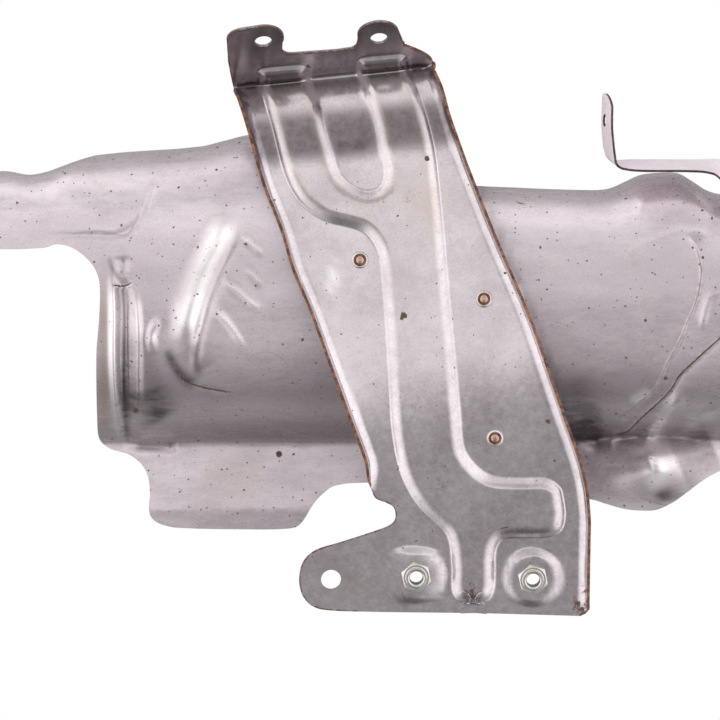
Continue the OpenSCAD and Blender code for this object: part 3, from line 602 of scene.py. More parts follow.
# %% Cutting the bracket
EAR_HOLES, EAR_HOLE_R = ((-26.4, 35), (31.2, 27.5)), 4.3
LUG_HOLE_R, NUT_HOLE_R, RIVET_HOLE_R = 5.0, 5.0, 2.55
SHORT, DEEP = 14, 20
above_ears = prism(np.array(keep_in + [[60, 62], [-60, 62]]), SHORT, flange_m)
ear_holes = [cylinder(EAR_HOLE_R, SHORT, flange_m @ Matrix.Translation((x * MM, y * MM, 0))) for x, y in EAR_HOLES]
lug_hole = cylinder(LUG_HOLE_R, DEEP, on_deck(*LUG_HOLE))
nut_holes = [cylinder(NUT_HOLE_R, DEEP, on_deck(x, y)) for x, y in NUTS]
rivet_holes = [cylinder(RIVET_HOLE_R, DEEP, on_deck(x, y), 32) for x, y in RIVETS]
cut(bracket, above_ears, *ear_holes, lug_hole, *nut_holes, *rivet_holes)
print("bracket faces after the cut:", len(bracket.data.polygons))

# %% [markdown]
# ## Marks that the mesh carries
# Some marks have a fixed place: a scratch, a dark spot, a stain, painted shade along a crease, a painted highlight, a
# painted reflection. They could be painted on an image, but a fine line would need a very large one. Here they are
# values at the mesh's points. The signed distance to thin lines is kept, so a line stays sharper than the grid.
# `spotted` keeps how deep a point is inside a round spot, and `blobs` adds up soft marks: stains, rust smudges,
# painted highlights and painted shade.

# %% Marks
LINE_REACH, SPOT_REACH = 4, 2


def dark_lines(p, lines):
    """Signed distance to the nearest of the lines, and a weight that is 0 away from them."""
    near = np.full(p.shape[:-1], FAR_OFF)
    signed = np.zeros(p.shape[:-1])
    weight = np.zeros(p.shape[:-1])
    for pts, ends, k in lines:
        d, s, t = to_line(p, line(pts))
        take = d < near
        near = np.where(take, d, near)
        signed = np.where(take, np.clip(d * s, -LINE_REACH, LINE_REACH), signed)
        weight = np.where(take, k * fade(t, ends) * ease((3.5 - d) / 1.5), weight)
    return signed, weight


def spotted(p, spots):
    """How deep each point is inside the nearest round spot, shifted so that it is never negative."""
    v = np.full(p.shape[:-1], -9.0)
    for u, w, r in spots:
        x, y = at(u, w)[0]
        v = np.maximum(v, r - np.hypot(p[..., 0] - x, p[..., 1] - y))
    return np.clip(v, -SPOT_REACH, SPOT_REACH) + SPOT_REACH


def blobs(p, marks):
    """Soft marks: [points, width, strength, ends], added up."""
    v = np.zeros(p.shape[:-1])
    for pts, w, k, ends in marks:
        if len(pts) == 1:
            v += k * bell(np.hypot(p[..., 0] - pts[0, 0], p[..., 1] - pts[0, 1]), w)
        else:
            d, _, t = to_line(p, line(pts))
            v += k * bell(d, w) * fade(t, ends)
    return v


print("a spot's middle holds", spotted(at([300, 300]), [(300, 300, 1)]))

# %% [markdown]
# ## One recipe for every metal
# Used sheet isn't one colour: it has soft clouds, a fine grain, dark specks of two sizes, and stains. Painted
# textures could show that, but they would be tied to one picture. The recipe mixes noise instead, and takes the marks
# that have a fixed place from values that the mesh carries: stains and rust, and also painted highlights, painted
# shade and painted reflections.

# %% Node helper
def lin(c):
    """A picture colour, 0 to 255, in linear light."""
    return tuple((x / 12.92 if x <= 0.04045 else ((x + 0.055) / 1.055) ** 2.4) for x in (v / 255 for v in c))


class Nodes:
    """Builds a material's nodes; a number or a colour stands in for a link."""

    def __init__(self, owner):
        owner.use_nodes = True
        self.tree = owner.node_tree
        self.bsdf = self.tree.nodes.get("Principled BSDF")

    def put(self, socket, value):
        if hasattr(value, "is_output"):
            self.tree.links.new(value, socket)
        elif isinstance(value, tuple):
            socket.default_value = (*value[:3], 1) if len(socket.default_value) == 4 else value
        else:
            socket.default_value = value

    def math(self, op, a, b=0.0, clamp=False):
        n = self.tree.nodes.new("ShaderNodeMath")
        n.operation, n.use_clamp = op, clamp
        self.put(n.inputs[0], a)
        self.put(n.inputs[1], b)
        return n.outputs[0]

    def ramp(self, x, lo, hi, a=0.0, b=1.0):
        n = self.tree.nodes.new("ShaderNodeMapRange")
        n.interpolation_type = "SMOOTHSTEP"
        for i, v in enumerate((x, lo, hi, a, b)):
            self.put(n.inputs[i], v)
        return n.outputs[0]

    def mix(self, f, a, b):
        n = self.tree.nodes.new("ShaderNodeMix")
        n.data_type = "RGBA"
        self.put(n.inputs[0], f)
        self.put(n.inputs[6], a)
        self.put(n.inputs[7], b)
        return n.outputs[2]

    def mark(self, name):
        n = self.tree.nodes.new("ShaderNodeAttribute")
        n.attribute_name = name
        return n.outputs["Fac"]

    def where(self, scale=(1, 1, 1)):
        c = self.tree.nodes.new("ShaderNodeTexCoord")
        m = self.tree.nodes.new("ShaderNodeMapping")
        self.tree.links.new(c.outputs["Object"], m.inputs["Vector"])
        m.inputs["Scale"].default_value = scale
        return m.outputs[0]

    def noise(self, scale, detail=3.0, rough=0.5, place=None):
        n = self.tree.nodes.new("ShaderNodeTexNoise")
        n.inputs["Scale"].default_value = scale
        n.inputs["Detail"].default_value = detail
        n.inputs["Roughness"].default_value = rough
        self.tree.links.new(place or self.where(), n.inputs["Vector"])
        return n.outputs[0]

    def cells(self, scale, place):
        n = self.tree.nodes.new("ShaderNodeTexVoronoi")
        n.inputs["Scale"].default_value = scale
        self.tree.links.new(place, n.inputs["Vector"])
        return n.outputs["Distance"], n.outputs["Color"]

    def bump(self, height, distance):
        n = self.tree.nodes.new("ShaderNodeBump")
        n.inputs["Strength"].default_value = 1.0
        n.inputs["Distance"].default_value = distance
        self.tree.links.new(height, n.inputs["Height"])
        self.tree.links.new(n.outputs[0], self.bsdf.inputs["Normal"])


print("mid grey in linear light:", round(lin((128, 128, 128))[0], 3))

# %% Specks
SPECK_RIM = -0.02, 0.05


def specks(g, scale, share, size, wobble=0.35):
    """Dark dots in a share of the cells, each of its own size."""
    warp = g.tree.nodes.new("ShaderNodeVectorMath")
    warp.operation = "MULTIPLY_ADD"
    n = g.tree.nodes.new("ShaderNodeTexNoise")
    n.inputs["Scale"].default_value = scale * 2.2
    g.tree.links.new(g.where(), n.inputs["Vector"])
    g.tree.links.new(n.outputs["Color"], warp.inputs[0])
    warp.inputs[1].default_value = (wobble / scale,) * 3
    g.tree.links.new(g.where(), warp.inputs[2])
    d, colour = g.cells(scale, warp.outputs[0])
    split = g.tree.nodes.new("ShaderNodeSeparateColor")
    g.tree.links.new(colour, split.inputs[0])
    r = g.math("MULTIPLY", g.math("SUBTRACT", split.outputs[0], 1 - share, clamp=True), size / share)
    return g.ramp(g.math("SUBTRACT", r, d), *SPECK_RIM)


print("a speck's rim is soft over", SPECK_RIM[1] - SPECK_RIM[0], "of a cell")

# %% Stains, painted highlights and painted shade
# The pale colour is for painted highlights, and the grey one for painted shade and painted reflections.
WEAR, TAN, PAINTED_HIGHLIGHT, PAINTED_SHADE = lin((120, 84, 60)), lin((186, 166, 138)), lin((250, 244, 244)), lin((84, 74, 76))
RUST_DARK, RUST_LIGHT = lin((72, 46, 36)), lin((132, 92, 72))


def stains_and_painted_light(g, colour, fine, marks):
    """Lays the tan stains, the pale painted highlights, and the grey painted shade and painted reflections that the
    mesh carries over the colour.
    """
    if "tan" in marks:
        k = g.math("MULTIPLY", g.mark("tan"), g.ramp(fine, 0.3, 0.6, 0.55, 1.0), clamp=True)
        colour = g.mix(k, colour, TAN)
    if "pale" in marks:
        colour = g.mix(g.math("MULTIPLY", g.mark("pale"), 1.0, clamp=True), colour, PAINTED_HIGHLIGHT)
    if "grey" in marks:
        k = g.math("MULTIPLY", g.mark("grey"), g.ramp(fine, 0.3, 0.7, 0.85, 1.12), clamp=True)
        colour = g.mix(k, colour, PAINTED_SHADE)
    return colour


def soil_and_crease_shade(g, colour, dirt_and_crease_shade, marks):
    """Adds rust, dark lines and round spots: the new colour and the new mask of dirt and painted crease shade."""
    if "rusty" in marks:
        k = g.ramp(g.math("MULTIPLY", g.mark("rusty"), g.ramp(g.noise(420, 3, 0.75), 0.3, 0.7)), 0.12, 0.5)
        colour = g.mix(k, colour, g.mix(g.noise(600), RUST_DARK, RUST_LIGHT))
        dirt_and_crease_shade = g.math("MAXIMUM", dirt_and_crease_shade, g.math("MULTIPLY", k, 0.6))
    # Dark lines: a scratch on the bracket, and painted shade along the creases on the shield.
    if "line" in marks:
        off_line = g.math("SUBTRACT", g.math("ABSOLUTE", g.mark("line")), g.ramp(g.noise(300), 0.3, 0.7, 0.18, 0.42))
        k = g.math("MULTIPLY", g.ramp(off_line, 0.0, 0.22, 1.0, 0.0), g.mark("line_k"))
        dirt_and_crease_shade = g.math("MAXIMUM", dirt_and_crease_shade, k)
    if "spot" in marks:
        ragged = g.math("MULTIPLY", g.math("SUBTRACT", g.noise(700, 2), 0.5), 1.1)
        deep = g.math("ADD", g.math("SUBTRACT", g.mark("spot"), SPOT_REACH), ragged)
        dirt_and_crease_shade = g.math("MAXIMUM", dirt_and_crease_shade, g.ramp(deep, 0.0, 0.25))
    return colour, dirt_and_crease_shade


print("rust in linear light:", [round(v, 3) for v in RUST_DARK])

# %% Metal
SPECKLES = 210, 380
# Tones for dirt, and also for the painted shade along creases.
DIRT_AND_SHADE_DARK, DIRT_AND_SHADE_LIGHT = lin((44, 33, 29)), lin((116, 90, 76))


def metal(name, light, dark, rough, metallic, streak=(1, 1, 1), speck=(0.3, 0.2), marks=()):
    """A used metal: light and dark are its two tones, speck the share and size of its dark dots."""
    mat = bpy.data.materials.new(name)
    g = Nodes(mat)
    cloud = g.noise(28, 3, 0.6, g.where(streak))
    grain = g.noise(900, 2, 0.6)
    fine = g.noise(260, 2, 0.65, g.where(streak))
    tone = g.math("ADD", g.math("MULTIPLY", cloud, 0.55), g.math("MULTIPLY", fine, 0.3))
    tone = g.math("ADD", tone, g.math("MULTIPLY", grain, 0.25))
    colour = g.mix(g.ramp(tone, 0.36, 0.74), dark, light)
    wear = g.ramp(g.noise(70, 4, 0.7), 0.6, 0.78)
    colour = g.mix(g.math("MULTIPLY", wear, 0.18), colour, WEAR)
    share, size = speck
    dirt_and_crease_shade = g.math("MAXIMUM", specks(g, SPECKLES[0], share, size), specks(g, SPECKLES[1], share, size * 1.2))
    if marks:
        colour = stains_and_painted_light(g, colour, fine, marks)
        colour, dirt_and_crease_shade = soil_and_crease_shade(g, colour, dirt_and_crease_shade, marks)
    colour = g.mix(dirt_and_crease_shade, colour, g.mix(g.noise(800), DIRT_AND_SHADE_DARK, DIRT_AND_SHADE_LIGHT))
    g.put(g.bsdf.inputs["Base Color"], colour)
    g.put(g.bsdf.inputs["Metallic"], g.ramp(dirt_and_crease_shade, 0, 1, metallic, 0.05))
    uneven = g.math("MULTIPLY", g.math("SUBTRACT", fine, 0.5), 0.16)
    g.put(g.bsdf.inputs["Roughness"], g.math("ADD", g.ramp(dirt_and_crease_shade, 0, 1, rough, 0.8), uneven))
    g.bump(g.math("ADD", g.math("MULTIPLY", fine, 0.6), g.math("MULTIPLY", dirt_and_crease_shade, 0.8)), 0.03 * MM)
    return mat


print("dirt in linear light:", [round(v, 3) for v in DIRT_AND_SHADE_DARK])

# %% [markdown]
# ## The finishes
# The bracket is galvanised and cool, the trough is aluminised and paler, and the strap is dull. The
# zinc, the rivets and their coppery stems are cleaner. A cut edge has no coating, so it rusts, and
# gets a plain two-tone material of its own. Each finish is one call of the recipe.

# %% Finishes
def edge_metal(name, a, b, metallic=0.4, rough=0.6):
    """A plain metal in two mottled tones, for cut edges."""
    mat = bpy.data.materials.new(name)
    g = Nodes(mat)
    n = g.noise(330, 5, 0.75)
    g.put(g.bsdf.inputs["Base Color"], g.mix(g.ramp(n, 0.4, 0.62), lin(a), lin(b)))
    g.put(g.bsdf.inputs["Metallic"], metallic)
    g.put(g.bsdf.inputs["Roughness"], rough)
    g.bump(n, 0.1 * MM)
    return mat


galvanised = metal("galvanised sheet", lin((206, 198, 201)), lin((176, 166, 170)), 0.2, 0.92,
                   speck=(0.3, 0.135), marks=("tan", "pale", "grey", "rusty", "spot", "line"))
aluminised = metal("aluminised sheet", lin((224, 213, 218)), lin((196, 184, 190)), 0.28, 0.62,
                   streak=(0.35, 1, 1), speck=(0.55, 0.17), marks=("tan", "pale", "grey", "spot", "line"))
strap_metal = metal("aluminised strap", lin((246, 234, 242)), lin((232, 218, 226)), 0.45, 0.15, speck=(0.12, 0.12))
zinc = metal("zinc plating", lin((212, 209, 204)), lin((180, 176, 170)), 0.24, 1.0, speck=(0.1, 0.1))
rivet_metal = metal("rivet body", lin((232, 224, 220)), lin((202, 190, 184)), 0.26, 0.85, speck=(0.1, 0.1))
stem_metal = metal("rivet stem", lin((206, 176, 164)), lin((172, 136, 122)), 0.25, 0.9, speck=(0.1, 0.1))
groove_dirt = edge_metal("brown groove", (96, 66, 54), (150, 112, 96), 0.3, 0.6)
rust = edge_metal("rusty cut edge", (84, 50, 38), (150, 104, 80), 0.25, 0.75)
sheet_edge = edge_metal("dark sheet edge", (74, 62, 62), (140, 124, 122), 0.6, 0.5)
strap_edge = edge_metal("dark strap edge", (64, 48, 52), (96, 76, 80), 0.5, 0.5)
print("materials in the file:", len(bpy.data.materials))

# %% Dressing a piece
def place(piece, node, slot):
    """Hides the imported part of the node that the piece stands for, and hangs the piece under the root."""
    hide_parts(node)
    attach(piece, "root")


def dress(piece, *mats):
    """Gives a piece its materials, in the order of its faces' kinds."""
    for m in mats:
        piece.data.materials.append(m)


def spots_of(piece):
    """The plan points of a piece's vertices."""
    v = np.empty(3 * len(piece.data.vertices))
    piece.data.vertices.foreach_get("co", v)
    return v.reshape(-1, 3)[:, :2] / MM + BOX_MID[:2]


def carry(piece, **marks):
    """Stores values at a piece's points under the names that the materials read."""
    for key, values in marks.items():
        a = piece.data.attributes.new(key, "FLOAT", "POINT")
        a.data.foreach_set("value", np.asarray(values, np.float32))


place(bracket, "main_bracket", "galvanised_sheet")
dress(bracket, galvanised, rust)
print("bracket:", [m.name for m in bracket.data.materials])

# %% [markdown]
# ## What marks the bracket
# Rust creeps in from its cut edges and sits in smudges by the holes. The dark grey of the flange and of the nose is
# what bare metal mirrors in the room around it, and a sky alone didn't give it. So a part of it is painted
# reflection: a soft grey tone over the flange and along the nose that stays off the bead's walls, with dark strokes
# over the bright bend. A pale stroke beside the dent left of the first rivet is a painted highlight.

# %% Bracket distances
p = spots_of(bracket)
inside = depth_inside(p, bead_ring)
left_edge, right_edge = guide(LEFT_EDGE, np.arange(0, 43, 0.5)), guide(RIGHT_EDGE, np.arange(0, 43.1, 0.5))
edge_near = np.minimum(to_line(p, left_edge)[0], to_line(p, right_edge)[0])
q = nose_q(p) - BEND_Q
on_flange = np.stack([(p[:, 0] - NOSE[0]) * math.cos(TURN) + (p[:, 1] - NOSE[1]) * math.sin(TURN),
                      q / math.cos(FLANGE_A)], 1)
ear_near = to_line(on_flange, np.array(keep_in))[0]
flange = ease((q + 1) / 2)
print("points within a millimetre of an edge:", int((edge_near < 1).sum()))

# %% Bracket rust and spots
EDGE_RUST, RUST_WIDTH = 0.9, 0.8
# Smudges: places, width, strength and how they fade. Spots: a place on the grid and a radius
smudges = [
    (at(472, 593), 3.6, 0.6, 0), (at(472, 584), 4.5, 0.3, 0), (at(581, 608), 3.0, 0.8, 0),
    (at(573, 603), 4, 0.4, 0), (at(406, 597), 3.4, 0.5, 0), (at(404, 318), 1.2, 1.4, 0),
    (at(440, 484), 5, 0.35, 0), (at(416, 403), 6, 0.3, 0), (at(402, 190, 415, 203), 5, 0.3, 0.3),
    (at(585, 590), 2.5, 0.6, 0)
]
rusty = EDGE_RUST * bell(edge_near, RUST_WIDTH) + EDGE_RUST * bell(ear_near, RUST_WIDTH) * flange + blobs(p, smudges)
spots = [
    (427, 158.4, 1.5), (357.4, 182, 0.6), (352, 288.6, 0.7), (314.8, 272, 0.8), (505, 273.7, 1.1),
    (505, 280, 0.8), (512.8, 293.2, 0.7), (521, 314.6, 0.6), (522.8, 339.4, 0.7), (369.6, 374.4, 0.6),
    (386.2, 354.4, 0.6), (362, 232.7, 0.5), (417, 276.8, 0.6), (362, 419, 1.1), (397.8, 467.7, 1.2),
    (432, 531, 0.9), (428, 478, 0.8), (506.7, 483, 0.8), (554.8, 460.5, 1.0), (514.5, 447.8, 0.8),
    (548, 421.6, 1.5), (584.7, 473.5, 0.8), (403, 547.3, 0.9), (580.5, 517.4, 0.7), (421, 501.7, 0.6),
    (501.7, 544.6, 0.6), (461.4, 489.5, 0.6), (405, 313.5, 1.9), (402.6, 317.5, 1.8), (254, 64.5, 0.9),
    (308, 66, 1.0), (349, 87.5, 0.6), (418, 69.5, 0.8)
]
line_dist, line_weight = dark_lines(p, [(at(366.5, 563, 366, 570), 0.2, 1)])
print(len(smudges), "smudges and", len(spots), "spots")

# %% Bracket tones
tan = 0.22 * bell(inside - 6.0, 2.5) * ease((p[:, 1] - 40) / 30) + blobs(p, [
    (at(420, 200), 12, 0.25, 0), (at(404, 345, 410, 360), 6, 0.15, 0.3), (at(330, 600, 352, 560), 14, 0.15, 0.3)])
# A painted highlight along the dent left of the first rivet.
pale = blobs(p, [(at(334, 250, 333, 280, 327, 310), 2.6, 0.6, 0.5)])
# Painted reflection in dark grey: the whole flange, a band across the nose kept off the bead's walls, dark strokes
# along the bright bend and by the pads' ends, and a darker patch inside the U.
off_walls = 1 - 0.75 * bell(inside - 2.5, 2.5)
painted_nose_reflection = 0.7 * ease((q + BEND_Q - 3) / 9) * ease((34 - q - BEND_Q) / 9) + 0.4 * bell(q + 3.5, 2.5)
grey = 0.62 * flange + off_walls * painted_nose_reflection + blobs(p, [
    (at(243, 86, 257, 85), 1.5, 0.6, 0.2), (at(411, 69, 423, 67), 1.5, 0.6, 0.2),
    (at(330, 153, 350, 151, 372, 148), 4, 0.2, 0.25), (at(235, 87, 304, 79.2), 1.2, 0.9, 0.05),
    (at(360, 73, 430, 65), 1.2, 0.9, 0.05)])
carry(bracket, rusty=rusty, spot=spotted(p, spots), line=line_dist, line_k=line_weight, tan=tan, pale=pale, grey=grey)
print("the grey is at most", round(float(grey.max()), 2))

# %% [markdown]
# ## The shield's form
# The shield is thin sheet pressed over the pipe: a round front, a flange along its foot with a lip,
# a lobe that rises at the right, and a hidden back wall that falls to the floor. Sculpting would
# give it in minutes but no sizes. It is a height again, the larger of the front curve and the
# flange, joined by a fillet.

# %% Shield sizes
TROUGH_Y, TROUGH_R = 36.0, 80.0
FLANGE_Z, FLANGE_FALL, FLANGE_Y, LIP_Y, LIP_END = 7.0, 0.06, -40, -76.0, -85.3
LIP_FALL = (FLANGE_Z + FLANGE_FALL * (LIP_Y - FLANGE_Y) - 2.2 * T_SHIELD) / (LIP_Y - LIP_END) - FLANGE_FALL
LOBE, LOBE_H, LOBE_LONG, LOBE_DEEP = np.array([150.0, -52.0]), 17, 26, 15
DOME, DOME_H, DOME_W = (147, 84), 2.5, 20
ARM_X, ARM_FALL = -130, 0.1
FOOT_SOFT = 7.0
SEAT_REACH, SEAT_FLAT = [24, 20, 33], 11
print("the lip falls", round(LIP_FALL, 2), "mm in each millimetre")

# %% Trough
def crown(p):
    """The highest line of the trough: level, lower along the arm, with a low dome at the right."""
    dome = np.hypot(p[..., 0] - DOME[0], p[..., 1] - DOME[1])
    return CROWN - ARM_FALL * np.maximum(ARM_X - p[..., 0], 0) + DOME_H * bell(dome, DOME_W)


def front_curve(p):
    """The round front of the trough."""
    d = np.clip(TROUGH_Y - p[..., 1], 0, TROUGH_R - 1)
    return crown(p) - TROUGH_R + np.sqrt(TROUGH_R**2 - d * d)


def flange_floor(p):
    """The flange, its lip and the lobe."""
    x, y = p[..., 0], p[..., 1]
    lobe = LOBE_H * np.exp(-(((x - LOBE[0]) / LOBE_LONG) ** 2) - ((y - LOBE[1]) / LOBE_DEEP) ** 2)
    return FLANGE_Z - FLANGE_FALL * (FLANGE_Y - y) - LIP_FALL * np.maximum(LIP_Y - y, 0) + lobe


print("the front at y -40 is", round(float(front_curve(np.array([0.0, -40.0]))), 1), "mm high")

# %% [markdown]
# ## Wrinkles and creases
# Thin sheet that has been bent, knocked and refitted is never smooth. A cloth simulation makes
# wrinkles, but not these ones. So each ridge, groove and dent is a stroke with its places, height
# and width, and each crease is a line on which one side stands higher and settles again.

# %% Strokes
# Each stroke: places, height, width, and how it fades towards its ends
VALLEY = at(122, 284, 124, 313, 123.5, 352, 123, 379, 124, 410, 126, 442)
STROKES = [
    # the groove at the left end, its two ridges and the pocket above it
    (VALLEY, -2.6, 3.4, 0.04),
    (at(112.6, 272, 113.5, 313, 113.5, 365, 116, 405, 120, 442), 1.9, 2.0, 0.1),
    (at(134, 287, 137.5, 313, 138.5, 345, 138, 385, 139, 428), 1.5, 1.7, 0.2),
    (at(123, 256, 123, 276), -1.6, 3.2, 0.3), (at(149, 336, 153, 345, 152, 355), 0.7, 2.4, 0.3),
    (at(133, 436, 155, 435, 178, 436), 1.3, 2.2, 0.2), (at(128, 446, 150, 447, 180, 447), -1.4, 2.0, 0.2),
    # the long diagonal ridge and the wrinkles beside it
    (at(230, 212, 215, 244, 199, 276, 188.5, 313, 182, 352), 3.6, 6.0, 0.2),
    (at(238, 238, 226, 262, 217, 282, 207, 308, 198, 342, 194, 379), -1.3, 2.6, 0.2),
    (at(222, 277, 240, 293, 262, 313), 1.2, 1.5, 0.3), (at(212, 308, 228, 325, 246, 350), 1.2, 1.5, 0.3),
    (at(241, 235, 252, 244, 264, 256), 0.9, 1.6, 0.3), (at(246, 266, 254, 276, 262, 287), 0.8, 1.5, 0.3),
    (at(160, 318, 152, 332, 149, 350), 1.4, 2.4, 0.3), (at(184, 416, 191, 432), 0.5, 1.4, 0.3),
    (at(52, 235, 95, 235, 115, 235, 133, 227, 147, 206, 157, 182, 199, 177, 235, 180), -0.5, 1.5, 0.2),
    # top edge and dome at the right, then the wrinkles above the lobe
    (at(640, 192, 641, 210), 0.8, 2.0, 0.3), (at(690, 186, 700, 200, 716, 214), 1.5, 3.2, 0.3),
    (at(662, 214, 668, 226), 0.4, 1.6, 0.3), (at(720, 288, 710, 298, 705, 315, 702, 330), 0.9, 1.6, 0.2),
    (at(686, 392, 669, 412, 655, 429, 647, 446), 2.0, 4.0, 0.2), (at(650, 450, 655, 463, 660, 480), 2.0, 5.0, 0.25),
    (at(724, 410, 704, 418, 684, 428), 1.2, 2.6, 0.3), (at(600, 408, 604, 422, 606, 434), 0.9, 1.6, 0.3),
    (at(598, 400, 592, 420, 598, 440, 612, 446), -2.2, 5.0, 0.25), (at(650, 486, 666, 498, 684, 506), -1.0, 4.0, 0.3),
]
print(len(STROKES), "strokes")

# %% Creases
# Creases: the sheet stands h higher on the line's left and settles again within w
FOLD = at(685.7, 235, 695.5, 247, 699.8, 259, 701.8, 270.8, 700.4, 283.8, 697.7, 296.8, 692.2, 312, 686.8, 324,
          682.5, 336, 674, 352, 667, 365, 659.7, 383, 652.4, 393, 641.5, 401.5, 633, 409, 623.3, 416, 616, 422)
STEP = at(730, 332, 720, 338.5, 706, 351, 691, 365, 679, 377, 673, 388, 659.7, 402.7, 647.6, 413.6, 635.5, 425.8,
          629.4, 431.8, 621, 434.5, 614, 434.5)
THUMB = at(111, 285, 116, 285.5, 122, 286, 128, 284.5, 133, 281)
TUCK = at(171, 360, 176, 371, 183, 379, 194, 385, 215, 390, 240, 393)
CREASES = [(FOLD, -1.3, 7.0, 0.06), (STEP, -2.0, 5.0, 0.04), (TUCK, 1.1, 7.0, 0.2), (THUMB, -1.2, 4.0, 0.2)]
print(len(CREASES), "creases")

# %% Shield face
WAVE_H = 0.10


def pressing(p):
    """What the strokes, the creases and low waves add to the sheet."""
    z = np.zeros(p.shape[:-1])
    for pts, h, w, ends in STROKES:
        d, _, t = to_line(p, line(pts))
        z += h * bell(d, w) * (0.15 + 0.85 * fade(t, ends))
    for pts, h, w, ends in CREASES:
        d, s, t = to_line(p, line(pts))
        z += h * np.where(s > 0, np.exp(-d / w), 0) * fade(t, ends)
    # low waves all over, as thin sheet has
    x, y = p[..., 0], p[..., 1]
    return z + WAVE_H * np.sin(x / 9 + 2 * np.sin(y / 13)) * np.sin(y / 7 + 1.7 * np.sin(x / 17))


def shield_face(p):
    """The shield's upper face, level with the bracket's under the three rivets."""
    free = smooth_max(front_curve(p), flange_floor(p), FOOT_SOFT) + pressing(p)
    seat = deck(p) - (T_BRACKET + GAP) * np.sqrt(1 + tail_grade(p) ** 2)
    w = np.zeros(p.shape[:-1])
    for (x, y), reach in zip(RIVETS, SEAT_REACH):
        w = np.maximum(w, ease((reach - np.hypot(p[..., 0] - x, p[..., 1] - y)) / (reach - SEAT_FLAT)))
    return mix(free, seat, w)


print("the crown by the first rivet:", round(float(shield_face(np.array([[0.0, 50.0]]))[0]), 2), "mm")

# %% [markdown]
# ## The shield's outlines
# Two guides run along the shield, its front edge and its back edge, from the arm at the left, where
# the edge is folded over, past the lobe to the right end. The stations are packed where the outline
# turns quickly.

# %% Shield outlines
FRONT = [[0, -210, 66], [1, -205, 57.5], [3, -180, 55.5], [6, -158, 56.2], [7, -152.5, 57.8],
    [8, -147, 57.2], [9, -142, 55], [10, -137.5, 51.5], [11, -133.5, 47], [12, -131, 41.5],
    [13, -130.1, 35], [15, -130.6, 20], [17, -132, 3], [20, -132, -32], [21, -131.5, -38.5],
    [22, -129.5, -42], [23, -125, -45], [24, -116.5, -47.5], [25, -110.5, -52], [26, -107, -58],
    [27, -105.8, -66], [28, -106.3, -75.3], [29, -104.5, -80], [30, -100, -82.8], [31, -92, -84.5],
    [34, -60, -85.3], [37, -35, -84.8], [38, -29.5, -82], [39, -23.6, -72.8], [40, -18.5, -67.2],
    [41, -12.5, -63.3], [43, 3, -61.8], [46, 45, -62], [51, 115, -70], [52, 124, -72.5],
    [53, 133, -75], [54, 141, -75.8], [55, 149, -75.5], [56, 157, -72], [57, 165, -66.3],
    [58, 173, -60.3], [59, 182, -55.5], [60, 192, -52.5], [61, 204, -50], [62, 217, -47.5],
    [63, 231, -42], [64, 240, -28]]
BACK = [[0, -210, 84], [1, -205, 91], [3, -180, 94], [5, -166, 92.2], [6, -158, 93.5],
    [7, -151, 96], [9, -143, 99], [12, -133.5, 102], [13, -128.5, 102.7], [14, -124, 103.2],
    [15, -120.5, 103.6], [17.5, -113.5, 104.2], [20, -107, 104.7], [22, -102, 105], [24, -97, 105.3],
    [26, -91, 105.7], [28, -84.5, 106.4], [30, -78, 107.2], [33, -67, 110], [36, -56, 112.6],
    [38, -46, 113], [41, -20, 106], [44, 15, 97], [47, 50, 88], [49, 80, 86], [52, 116, 84.8],
    [53, 125, 85.5], [54, 133, 88.8], [55, 141, 92.4], [56, 151, 93.6], [57, 160, 93.3],
    [58, 167, 89.5], [59, 175, 84.5], [60, 184, 82.5], [62, 207, 82], [64, 240, 80]]
s = np.concatenate([np.arange(0, 40, 0.2), np.arange(40, 51, 0.25), np.arange(51, 64.01, 0.14)])
b, t = guide(FRONT, s), guide(BACK, s)
span = np.linalg.norm(t - b, axis=1, keepdims=True)
print(len(s), "stations, the sheet's plan is", round(float(span.max())), "mm deep at most")

# %% [markdown]
# ## From front to back
# Each station has one row of points from the front edge, over the crown, to the back wall's foot.
# A straight row would cross the notch beside the arm, so the row is a curve that sets off at right
# angles there. The first columns are close together, because they make the hem, which is the
# sheet doubled over at its edge.

# %% Front rows
HEM, HEM_STEP = 4.0, 1.0
TOP_REACH, END_REACH = 34, 22
# m is where the crown ends and the back wall's curve begins
reach = np.minimum(mix(TOP_REACH, END_REACH, ease((s - 54) / 6))[:, None], 0.5 * span)
m = mix(t, b, reach / span)
# inward is 1 where a row sets off at right angles to the edge, beside the arm
inward = (ease((s - 12.8) / 2.2) * ease((32 - s) / 4))[:, None]
c = mix((b + m) / 2, np.stack([m[:, 0], b[:, 1]], 1), inward)
first = 2 * np.linalg.norm(c - b, axis=1, keepdims=True)
# The hem's columns, then the rest up to the crown's back
rows = [np.minimum(f * HEM / first, 0.9) for f in (0, 0.2, 0.5, 0.8, 1.0)]
rows += [mix((HEM + HEM_STEP) / first, 1, f) for f in np.linspace(0, 1, 106)]
front = np.stack([mix(mix(b, c, f), mix(c, m, f), f) for f in rows], 1)
front_z = shield_face(front)
print("columns up to the crown:", front.shape[1])

# %% Back wall
BACK_DROP = 26
drop = BACK_DROP * np.minimum(1, span[:, 0] / 60)
turn = np.radians(np.linspace(7, 90, 12))
foot = (CROWN - BACK_DROP) * ease((22 - s) / 20)
back = np.stack([mix(m, t, math.sin(a)) for a in turn] + [t + [0, 0.4], t + [0, 0.8]], 1)
level = front_z[:, -1]
back_z = np.stack([level - drop * (1 - math.cos(a)) for a in turn] + [mix(level - drop, foot, 0.5), foot], 1)
back_z += (pressing(back) - pressing(m)[:, None]) * np.r_[ease(1.4 - turn), 0, 0]
plan = np.concatenate([front, back], 1)
shield_top = np.dstack([plan, np.concatenate([front_z, back_z], 1)])
print("the back wall falls", BACK_DROP, "mm in its curve and then goes straight to the floor")

